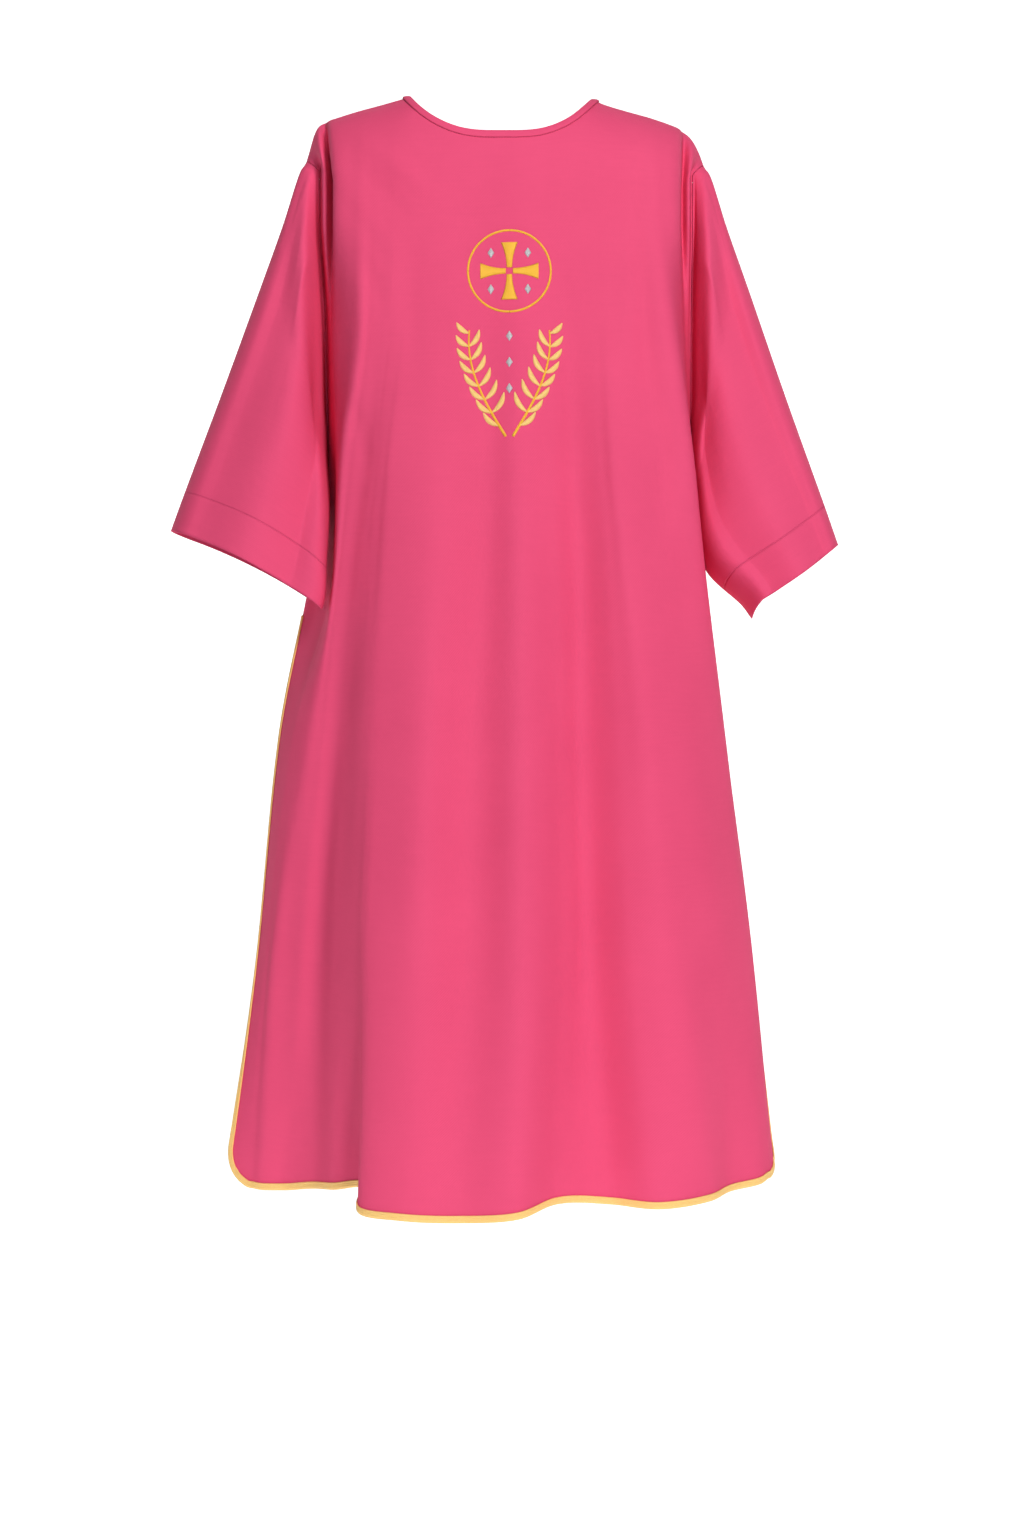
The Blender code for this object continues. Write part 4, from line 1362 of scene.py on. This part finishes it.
@dataclass
class EdgeBraid:
    """The gold braid folded over the slit edges and the hem of one panel.

    Attributes:
        name: Name of the piece.
        panel: The panel that it edges.
        spacing: Distance between its rings of points, in metres.
        cloth_gap: Space between cloth and braid, in metres.
        thickness: Thickness of the braid, in metres.
        cords: Number of cords on each face.
        cord_rise: How far a cord stands out of the braid, in metres.
    """

    name: str
    panel: Panel
    spacing: float = 0.0026
    cloth_gap: float = 0.0003
    thickness: float = 0.0010
    cords: int = 3
    cord_rise: float = 0.0005

    def build(self, material: bpy.types.Material) -> bpy.types.Object:
        """Fold the braid, with round cords side by side on its faces.

        Args:
            material: The finish.

        Returns:
            The object.
        """
        edge, normals, out = self.panel.trim_edge(self.spacing)
        lift = CUT.wall / 2 + self.cloth_gap
        top = lift + self.thickness
        width = CUT.trim_width
        shares = np.linspace(1, 0, self.cords * 4 + 1)
        swell = self.cord_rise * np.abs(np.sin(math.pi * self.cords * shares))
        face = [(-width * share, top + rise) for share, rise in zip(shares, swell)]
        fold = [(top * math.sin(a), top * math.cos(a)) for a in np.linspace(0.5, math.pi - 0.5, 4)]
        profile = [(-width, lift), *face, *fold, *[(x, -h) for x, h in face[::-1]],
                   (-width, -lift), (-0.0004, -lift), (-0.0004, lift)]
        sections = carry(profile, edge, out, normals)[::int(self.panel.facing)]
        return sweep(self.name, sections, False, material)


# Corners of a thread's ring, and the stitch's rings from end to end: place in lengths from its
# middle, rise above the cloth and radius in radii of the thread.
THREAD_CORNERS = 6
STITCH_RINGS = ((-0.5, -0.9, 0.15), (-0.42, -0.1, 0.8), (-0.2, 0.5, 1.0),
                (0.2, 0.5, 1.0), (0.42, -0.1, 0.8), (0.5, -0.9, 0.15))


@dataclass
class StitchRow:
    """A closed row of stitches lying on the cloth.

    Attributes:
        name: Name of the piece.
        line: Points of the row, (n, 3).
        normals: Normals of the cloth there.
        length: Length of a stitch, in metres.
        gap: Space between stitches, in metres.
        radius: Radius of the thread, in metres.
    """

    name: str
    line: Array
    normals: Array
    length: float
    gap: float
    radius: float

    def build(self, material: bpy.types.Material) -> bpy.types.Object:
        """Lay each stitch as a thread that rises from the cloth and dives again.

        Args:
            material: The finish.

        Returns:
            The object.
        """
        line, normals = (np.vstack([item, item[:1]]) for item in (self.line, self.normals))
        run = run_along(line)
        count = int(run[-1] // (self.length + self.gap))
        starts = (np.arange(count) + 0.5) * run[-1] / count
        shares, rise, girth = np.array(STITCH_RINGS).T * [[self.length], [self.radius],
                                                          [self.radius]]
        wanted = starts[:, None] + shares
        spots = read_line(wanted, run, line)
        ups = unit(read_line(wanted, run, normals))
        along = unit(np.gradient(spots, axis=1))
        side = unit(np.cross(along, ups))
        angle = np.linspace(0, 2 * math.pi, THREAD_CORNERS, endpoint=False)
        centre = spots + ups * rise[:, None]
        rings = (centre[:, :, None]
                 + side[:, :, None] * (np.cos(angle)[:, None] * girth[:, None, None])
                 + ups[:, :, None] * (np.sin(angle)[:, None] * girth[:, None, None]))
        return many_bodies(self.name, rings, material)


# Width of flat cloth that one side of a small body counts as, in metres.
SIDE_WIDTH = 0.0003


def many_bodies(name: str, rings: Array, material: bpy.types.Material) -> bpy.types.Object:
    """Join many small bodies, each lofted through rings and capped, into one object.

    Args:
        name: Name of the object.
        rings: Points, (bodies, stations, corners, 3).
        material: The finish.

    Returns:
        The object.
    """
    bodies, stations, corners = rings.shape[:3]
    station, corner = np.meshgrid(np.arange(stations - 1), np.arange(corners), indexing="ij")
    after = (corner + 1) % corners
    one = np.stack([station * corners + corner, station * corners + after,
                    (station + 1) * corners + after, (station + 1) * corners + corner],
                   axis=-1).reshape(-1, 4)
    offset = np.arange(bodies)[:, None, None] * stations * corners
    quads = (one + offset).reshape(-1, 4)
    first = np.arange(corners - 1, -1, -1) + offset[:, 0]
    last = np.arange(corners) + (stations - 1) * corners + offset[:, 0]
    caps = np.concatenate([first, last])
    centre = rings.mean(axis=2)
    run = np.cumsum(np.linalg.norm(np.diff(centre, axis=1), axis=-1), axis=1)
    run = np.concatenate([np.zeros((bodies, 1)), run], axis=1)
    place = np.stack([np.repeat(run[:, :, None], corners, 2),
                      np.broadcast_to(np.arange(corners) * SIDE_WIDTH, rings.shape[:3])], axis=-1)
    place = place.reshape(-1, 2)
    uv = np.vstack([place[quads.ravel()], place[caps.ravel()]])
    return make_object(name, rings.reshape(-1, 3), quads.tolist() + caps.tolist(), uv, material)


# ---------------------------------------------------------------- embroidery
@dataclass
class SatinBand:
    """A raised band of satin stitch along a line on the chest.

    Attributes:
        line: Points (x, z) of its middle, in metres.
        widths: Its width at each point, in metres.
        height: How far its middle stands off the cloth, in metres.
    """

    line: Array
    widths: Array
    height: float = 0.0011


# Corners and rings of points of one band, and how far its underside dips into the cloth.
BAND_CORNERS = 10
BAND_RINGS = 22
BAND_DIP = 0.0004


@dataclass
class Embroidery:
    """A generic chest motif: a flared cross in a ring over two laurel sprays and diamonds.

    Attributes:
        panel: The front panel.
        centre: Place (x, z) of the cross's centre, in metres.
        finishes: The materials.
        radius: Radius of the ring, in metres.
        ring_width: Width of its thread, in metres.
        arm_reach: Where an arm starts and ends, in metres from the centre.
        arm_width: Width at its start and what it gains to its end, in metres.
        stem_start: How far the stems start out from the middle and below the centre, in metres.
        stem_spread: How far they swing out and climb, in metres.
        stem_width: Their width at the root and at the tip, in metres.
        leaf_pairs: Number of places for leaves on a stem.
        leaf_size: Length and width of a leaf at the root, in metres.
        leaf_leans: How far leaves lean up on the outer and on the inner side of a stem.
        leaf_span: Shares of the stem at which the first and last leaves stand.
        leaf_shrink: What a leaf has lost in length at the stem's tip, as a share.
        leaf_draw: How much a leaf that leans up draws in.
        leaf_bow: How far a leaf is bowed, as a share of its length.
        leaf_blunt: How blunt its ends are.
        leaf_fullness: How fully it keeps its width towards them; less is fuller.
        stem_curl: Angle through which a stem swings out, in radians.
        diamond: Half height and width of a diamond, in metres.
        diamond_offset: How far the diamonds in the cross stand from its middle lines, in metres.
        diamond_drops: How far the diamonds between the sprays stand below it, in metres.
    """

    panel: Panel
    centre: tuple
    finishes: Finishes
    radius: float = 0.047
    ring_width: float = 0.0026
    arm_reach: tuple = (0.004, 0.033)
    arm_width: tuple = (0.0065, 0.013)
    stem_start: tuple = (0.004, 0.190)
    stem_spread: tuple = (0.042, 0.122)
    stem_width: tuple = (0.0034, 0.0020)
    leaf_pairs: int = 8
    leaf_size: tuple = (0.026, 0.0064)
    leaf_leans: tuple = (0.62, 0.95)
    leaf_span: tuple = (0.10, 0.97)
    leaf_shrink: float = 0.25
    leaf_draw: float = 0.45
    leaf_bow: float = 0.12
    leaf_blunt: float = 0.03
    leaf_fullness: float = 0.8
    stem_curl: float = 1.75
    diamond: tuple = (0.0058, 0.0080)
    diamond_offset: float = 0.021
    diamond_drops: tuple = (0.075, 0.105, 0.135)

    def on_cloth(self, places: Array) -> tuple[Array, Array]:
        """Points and normals of the cloth's outside behind places (x, z).

        Args:
            places: Places, (n, 2).

        Returns:
            Two arrays, one row for each place.
        """
        x, z = places.T
        step = 0.0005
        points = self.panel.surface_at(x, z)
        over = self.panel.surface_at(x + step, z) - self.panel.surface_at(x - step, z)
        up = self.panel.surface_at(x, z + step) - self.panel.surface_at(x, z - step)
        return points, unit(np.cross(over, up))

    def band_rings(self, band: SatinBand) -> Array:
        """Rings of one band, a dome that thins where the band is narrow.

        Args:
            band: The band.

        Returns:
            Points, (BAND_RINGS, BAND_CORNERS, 3).
        """
        angle = np.linspace(0, 2 * math.pi, BAND_CORNERS, endpoint=False)
        run = run_along(band.line)
        wanted = np.linspace(0, run[-1], BAND_RINGS)
        line = read_line(wanted, run, band.line)
        width = np.interp(wanted, run, band.widths)
        along = unit(np.gradient(line, axis=0))
        side = np.column_stack([along[:, 1], -along[:, 0]])
        half = np.cos(angle)[:, None] * width[:, None, None] / 2
        spots = line[:, None] + side[:, None] * half
        rise = np.where(np.sin(angle) > 0, band.height, BAND_DIP) * np.sin(angle)
        taper = np.minimum(1, width / (width.max() * 0.5 + TOLERANCE))
        points, normals = self.on_cloth(spots.reshape(-1, 2))
        lift = (rise[None] * np.sqrt(taper)[:, None]).reshape(-1, 1)
        return (points + normals * lift).reshape(BAND_RINGS, BAND_CORNERS, 3)

    def sew(self, name: str, bands: Sequence[SatinBand],
            material: bpy.types.Material) -> bpy.types.Object:
        """Sew bands onto the cloth as closed domed strips, joined into one object.

        Args:
            name: Name of the object.
            bands: The bands.
            material: The finish.

        Returns:
            The object.
        """
        return many_bodies(name, np.array([self.band_rings(band) for band in bands]), material)

    def leaf(self, root: Array, tip: Array, bend: float) -> SatinBand:
        """A leaf-shaped band from root to tip, bowed sideways by a share of its length.

        Args:
            root: Place (x, z) of its root.
            tip: Place (x, z) of its tip.
            bend: How far it is bowed, as a share of its length.

        Returns:
            The band.
        """
        share = np.linspace(0, 1, 15)[:, None]
        step = tip - root
        side = np.array([-step[1], step[0]])
        line = root + step * share + side * bend * np.sin(math.pi * share)
        place = share[:, 0] * (1 - 2 * self.leaf_blunt) + self.leaf_blunt
        swell = np.sin(math.pi * np.clip(place, 0, 1)) ** self.leaf_fullness
        return SatinBand(line, self.leaf_size[1] * swell)

    def cross_arms(self) -> list[SatinBand]:
        """Four arms, which flare with the square of the way out.

        Returns:
            One band for each arm.
        """
        share = np.linspace(0, 1, 12)
        reach = np.interp(share, (0, 1), self.arm_reach)[:, None]
        widths = self.arm_width[0] + self.arm_width[1] * share ** 2
        ways = [(math.cos(turn), math.sin(turn)) for turn in np.arange(4) * math.pi / 2]
        return [SatinBand(self.centre + reach * way, widths) for way in ways]

    def ring(self) -> list[SatinBand]:
        """The ring round the cross, in eight lengths."""
        angles = [np.radians(np.linspace(start, start + 45, 40)) for start in range(0, 360, 45)]
        return [SatinBand(self.centre + self.radius * np.column_stack([np.cos(a), np.sin(a)]),
                          np.full(40, self.ring_width)) for a in angles]

    def sprays(self) -> tuple[list[SatinBand], list[SatinBand]]:
        """Two laurel sprays that meet below the ring: stems, then leaves.

        Returns:
            The bands of the stems, and those of the leaves.
        """
        stems, leaves = [], []
        share = np.linspace(0, 1, 40)
        last = self.leaf_pairs - 1
        for side in (-1, 1):
            out_by = self.stem_start[0] + self.stem_spread[0] * np.sin(share * self.stem_curl)
            up_by = self.stem_spread[1] * share - self.stem_start[1]
            line = self.centre + np.column_stack([side * out_by, up_by])
            stems.append(SatinBand(line, np.interp(share, (0, 1), self.stem_width)))
            for number, spot in enumerate(np.linspace(*self.leaf_span, self.leaf_pairs)):
                root = read_line(spot, share, line)
                size = self.leaf_size[0] * (1 - self.leaf_shrink * spot)
                for out, lean in zip((side, -side), self.leaf_leans):
                    if out == -side and number in (0, last):
                        continue
                    way = np.array([out * (1 - lean * self.leaf_draw), lean])
                    leaves.append(self.leaf(root, root + way * size, -self.leaf_bow * out))
        return stems, leaves

    def diamonds(self) -> list[SatinBand]:
        """Small diamonds between the cross's arms and between the sprays.

        Returns:
            One band for each diamond.
        """
        away = self.diamond_offset
        spots = [(away * a, away * b) for a in (-1, 1) for b in (-1, 1)]
        spots += [(0, -drop) for drop in self.diamond_drops]
        height, width = self.diamond
        return [SatinBand(np.array(self.centre) + spot + [[0, -height], [0, 0], [0, height]],
                          np.array([BAND_DIP, width, BAND_DIP])) for spot in spots]

    def build(self) -> list[bpy.types.Object]:
        """Sew the whole motif.

        Returns:
            The pieces.
        """
        stems, leaves = self.sprays()
        gold, pale, silver = self.finishes.gold, self.finishes.pale, self.finishes.silver
        return [self.sew("cross_satin", self.cross_arms(), gold),
                self.sew("ring_satin", self.ring() + stems, gold),
                self.sew("leaf_satin", leaves, pale),
                self.sew("diamond_satin", self.diamonds(), silver)]


# ---------------------------------------------------------------- creases listed one by one
# (x, z) of start, middle and end, half width, height, all in millimetres.
FRONT_CREASES = (
    # Soft ridges and troughs that run in from the shoulders.
    Crease((-178, -60), (-126, -88), (-70, -146), 9, 1.9),
    Crease((-186, -92), (-138, -116), (-96, -178), 10, -1.6),
    Crease((-182, -128), (-150, -150), (-112, -214), 9, 1.2),
    Crease((-172, -188), (-150, -214), (-128, -282), 9, -1.3),
    Crease((186, -64), (132, -92), (78, -150), 9, 1.7),
    Crease((194, -98), (146, -122), (102, -182), 10, -1.5),
    Crease((188, -136), (158, -158), (122, -220), 9, 1.1),
    # Shallow ripples down the chest and waist.
    Crease((-98, -170), (-103, -245), (-98, -345), 11, -1.6),
    Crease((-58, -185), (-54, -260), (-52, -370), 12, 1.0),
    Crease((-16, -300), (-10, -380), (-12, -455), 10, -1.4),
    Crease((36, -290), (42, -380), (40, -470), 13, 0.9),
    Crease((76, -200), (72, -290), (78, -390), 12, -0.9),
    Crease((170, -205), (162, -270), (172, -372), 9, -1.7),
    Crease((148, -190), (142, -265), (146, -350), 11, 1.1),
    # Drag lines from the underarms.
    Crease((-180, -350), (-160, -392), (-146, -470), 8, -1.5),
    Crease((206, -392), (184, -440), (170, -540), 9, -1.5),
    Crease((214, -440), (200, -492), (190, -596), 9, 1.3),
    # Long soft folds of the skirt.
    Crease((-50, -560), (-58, -760), (-66, -1000), 15, -1.6),
    Crease((-84, -640), (-96, -880), (-112, -1150), 14, 1.1),
    Crease((-6, -700), (-6, -900), (-16, -1170), 14, -1.3),
    Crease((52, -600), (54, -850), (50, -1120), 15, 1.2),
    Crease((176, -640), (204, -900), (240, -1190), 14, -1.4),
    Crease((226, -760), (246, -960), (276, -1200), 11, 1.3),
    Crease((-232, -760), (-244, -940), (-262, -1190), 9, -1.6),
    Crease((-215, -820), (-226, -980), (-240, -1180), 9, 1.2),
)
BACK_CREASES = (
    Crease((-172, -70), (-124, -112), (-70, -178), 10, 1.6),
    Crease((-180, -112), (-136, -158), (-92, -226), 10, -1.5),
    Crease((178, -72), (128, -108), (76, -170), 10, 1.7),
    Crease((184, -116), (140, -150), (98, -214), 10, -1.4),
    Crease((-30, -150), (-34, -250), (-28, -360), 12, -1.2),
    Crease((34, -170), (38, -280), (34, -400), 12, 1.1),
    Crease((-176, -370), (-150, -450), (-142, -580), 9, -1.5),
    Crease((188, -380), (162, -460), (156, -590), 9, -1.6),
    Crease((-24, -560), (-30, -800), (-42, -1100), 15, -1.7),
    Crease((40, -620), (44, -860), (52, -1140), 15, 1.4),
    Crease((-180, -640), (-196, -880), (-214, -1160), 12, 1.5),
    Crease((194, -660), (212, -900), (232, -1170), 12, -1.5),
    Crease((96, -700), (108, -900), (120, -1150), 12, -1.3),
    Crease((-104, -680), (-112, -900), (-126, -1150), 12, 1.2),
)
# (share round the half from top edge to seam, share along) in thousandths; the back half runs
# from 1000 to 2000.
LEFT_SLEEVE_CREASES = (
    Crease((260, 150), (340, 420), (310, 760), 20, -0.30),
    Crease((450, 180), (480, 480), (460, 860), 22, 0.28),
    Crease((650, 160), (670, 420), (700, 800), 20, -0.34),
    Crease((1250, 180), (1340, 460), (1300, 820), 15, -1.0),
    Crease((1480, 160), (1440, 480), (1500, 880), 17, 1.0),
    Crease((1700, 180), (1680, 500), (1720, 860), 14, -0.9),
)
RIGHT_SLEEVE_CREASES = (
    Crease((250, 170), (310, 430), (330, 780), 20, -0.28),
    Crease((430, 160), (480, 440), (450, 840), 22, 0.30),
    Crease((630, 190), (650, 460), (710, 820), 20, -0.34),
    Crease((1230, 160), (1300, 440), (1280, 800), 15, -1.0),
    Crease((1460, 200), (1500, 500), (1470, 860), 17, 1.0),
    Crease((1720, 170), (1690, 460), (1740, 840), 14, -0.9),
)

FRONT_DENSITY = ((0.0, 3.0), (0.06, 2.6), (0.10, 1.2), (0.2, 1.0), (0.5, 0.9), (0.85, 1.0),
                 (0.92, 1.6), (0.95, 2.8), (1.0, 3.0))
BACK_DENSITY = ((0.0, 3.0), (0.03, 2.2), (0.08, 1.0), (0.92, 1.0), (0.97, 2.2), (1.0, 3.0))


# ---------------------------------------------------------------- the garment
@dataclass
class Dalmatic:
    """The whole garment.

    Attributes:
        finishes: The materials.
        panel_flat: Width and length of a panel laid flat, in metres. Not used.
        panel_area: Area of a panel, in square metres. Not used.
        sleeve_flat: Width and length of a sleeve laid flat, in metres. Not used.
        sleeve_area: Area of a sleeve, in square metres. Not used.
    """

    finishes: Finishes
    panel_flat: tuple = (0.94, 1.37)
    panel_area: float = 0.95
    sleeve_flat: tuple = (0.72, 0.46)
    sleeve_area: float = 0.19

    def sleeve(self, front: Panel, back: Panel, side: Side) -> list[bpy.types.Object]:
        """One sleeve, with the stitches of its cuff's hem.

        Args:
            front: The front panel.
            back: The back panel.
            side: Which sleeve.

        Returns:
            The cloth and its stitches.
        """
        node, rings, creases, hold = {
            Side.LEFT: ("sleeve_left", LEFT_RINGS, LEFT_SLEEVE_CREASES, 0.05),
            Side.RIGHT: ("sleeve_right", RIGHT_RINGS, RIGHT_SLEEVE_CREASES, 0.10)}[side]
        sleeve = Sleeve(front, back, rings, side, creases, hold)
        cloth = sleeve.sheet.build(f"{node}_cloth", self.finishes.cuffed)
        stand_for(node)
        row = StitchRow(f"{node}_hem_stitches", *sleeve.hem_line(CUT.cuff_hem),
                        length=0.0020, gap=0.0022, radius=0.00022)
        stitches = row.build(self.finishes.sewing)
        return [cloth, stitches]

    def build(self) -> list[bpy.types.Object]:
        """Make every piece, each standing for its CAD node.

        Returns:
            The pieces, in the order in which they were made.
        """
        front = Panel(FRONT_DRAPES, Facing.FRONT, CUT.front_neck_reach, FRONT_CREASES,
                      FRONT_DENSITY)
        back = Panel(BACK_DRAPES, Facing.BACK, CUT.back_neck_reach, BACK_CREASES, BACK_DENSITY)
        sheets, braids = [], []
        for panel, node in ((front, "front"), (back, "back")):
            cloth = panel.sheet.build(f"{node}_cloth", self.finishes.cloth)
            stand_for(node)
            braid = EdgeBraid(f"{node}_trim_braid", panel).build(self.finishes.braid)
            stand_for(f"{node}_trim")
            sheets.append(cloth)
            braids.append(braid)
        neck = NeckBinding(front, back)
        binding = neck.build(self.finishes.cloth)
        stand_for("neck_binding")
        ditch = StitchRow("neck_stitches", *neck.ditch(), length=0.0024, gap=0.0007,
                          radius=0.00034).build(self.finishes.sewing)
        motif = Embroidery(front, (0.010, -0.225), self.finishes).build()
        sleeves = self.sleeve(front, back, Side.LEFT) + self.sleeve(front, back, Side.RIGHT)
        return [*sheets, *sleeves, binding, ditch, *braids, *motif]


def stand_for(node: str) -> None:
    """Let a piece stand for a CAD node by hiding that node."""
    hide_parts(node)


class Lamp(NamedTuple):
    """A square light: its name, its place and size in metres, and its watts."""

    name: str
    place: tuple
    size: float
    watts: float


@dataclass
class Studio:
    """Floor, lights and camera.

    Attributes:
        floor_z: Height of the floor, in metres.
        lamps: The square lights.
        aim: What they face.
        sky: Strength of the even light all round.
        paper_ends: How far the floor reaches in front and behind, in metres.
        paper_bend: Radius of the bend from the floor to the backdrop, in metres.
        paper_half_width: Half its width, in metres.
        paper_height: Its height above the floor, in metres.
        paper_glow: How much light the paper gives off.
        eye: Place of the camera, which is level and square to the garment.
        lens: Focal length in millimetres, for a frame 24 mm high.
    """

    floor_z: float
    lamps: tuple = (Lamp("key", (1.25, -3.9, 0.95), 0.75, 135),
                    Lamp("fill", (-2.3, -3.1, 0.3), 1.2, 15),
                    Lamp("top", (-0.1, -1.5, 2.2), 0.8, 18))
    aim: tuple = (0.0, 0.0, -0.65)
    sky: float = 0.045
    paper_ends: tuple = (-1.2, 3.6)
    paper_bend: float = 1.2
    paper_half_width: float = 9.0
    paper_height: float = 7.0
    paper_glow: float = 0.72
    eye: tuple = (0.013, -3.4, -0.789)
    lens: float = 45.02

    def build(self) -> None:
        """Set the floor, the lights, the even light and the camera."""
        self.paper()
        for lamp in self.lamps:
            self.light(lamp)
        self.world()
        self.camera()
        bpy.context.scene.view_settings.view_transform = "Standard"

    def paper(self) -> None:
        """A plain pale floor with a backdrop that curves up behind."""
        z, bend, (front, back) = self.floor_z, self.paper_bend, self.paper_ends
        profile = [(front, z), (back, z)]
        profile += [(back + math.sin(a) * bend, z + (1 - math.cos(a)) * bend)
                    for a in np.linspace(0.1, math.pi / 2, 16)]
        profile += [(back + bend, z + self.paper_height)]
        points = [(x, y, height) for x in (-self.paper_half_width, self.paper_half_width)
                  for y, height in profile]
        count = len(profile)
        faces = [(k, count + k, count + k + 1, k + 1) for k in range(count - 1)]
        mesh = bpy.data.meshes.new("backdrop")
        mesh.from_pydata(points, [], faces)
        mesh.shade_smooth()
        graph = Graph("backdrop_paper")
        graph.surface(Base_Color=(0.90, 0.90, 0.895, 1), Roughness=0.9,
                      Emission_Color=(1.0, 1.0, 0.995, 1), Emission_Strength=self.paper_glow)
        mesh.materials.append(graph.material)
        self.link("backdrop", mesh)

    def link(self, name: str, data: bpy.types.ID) -> bpy.types.Object:
        """An object for a mesh, a light or a camera, linked to the scene.

        Args:
            name: Name of the object.
            data: The mesh, light or camera.

        Returns:
            The object.
        """
        made = bpy.data.objects.new(name, data)
        bpy.context.scene.collection.objects.link(made)
        return made

    def light(self, lamp: Lamp) -> None:
        """A square area light that faces the garment.

        Args:
            lamp: The light.
        """
        data = bpy.data.lights.new(lamp.name, "AREA")
        data.size = lamp.size
        data.energy = lamp.watts
        made = self.link(lamp.name, data)
        made.location = lamp.place
        way = Vector(self.aim) - Vector(lamp.place)
        made.rotation_euler = way.to_track_quat("-Z", "Y").to_euler()

    def world(self) -> None:
        """Even white light all round."""
        world = bpy.data.worlds.new("studio")
        world.use_nodes = True
        background = world.node_tree.nodes["Background"]
        background.inputs["Color"].default_value = (1, 1, 1, 1)
        background.inputs["Strength"].default_value = self.sky
        bpy.context.scene.world = world

    def camera(self) -> None:
        """The camera, which looks along +Y."""
        data = bpy.data.cameras.new("camera")
        data.sensor_fit = "VERTICAL"
        data.sensor_height = 24
        data.lens = self.lens
        camera = self.link("camera", data)
        camera.location = self.eye
        camera.rotation_euler = (math.pi / 2, 0, 0)
        bpy.context.scene.camera = camera


def main() -> None:
    """Build the garment and the studio, and log the number of faces of each piece."""
    logging.basicConfig(level=logging.INFO, format="%(message)s")
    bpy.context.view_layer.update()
    for piece in Dalmatic(Finishes()).build():
        log.info("%s: %d faces", piece.name, len(piece.data.polygons))
    Studio(FLOOR_Z).build()
    log.info("studio: floor, three lights and camera")


if __name__ == "__main__":
    main()
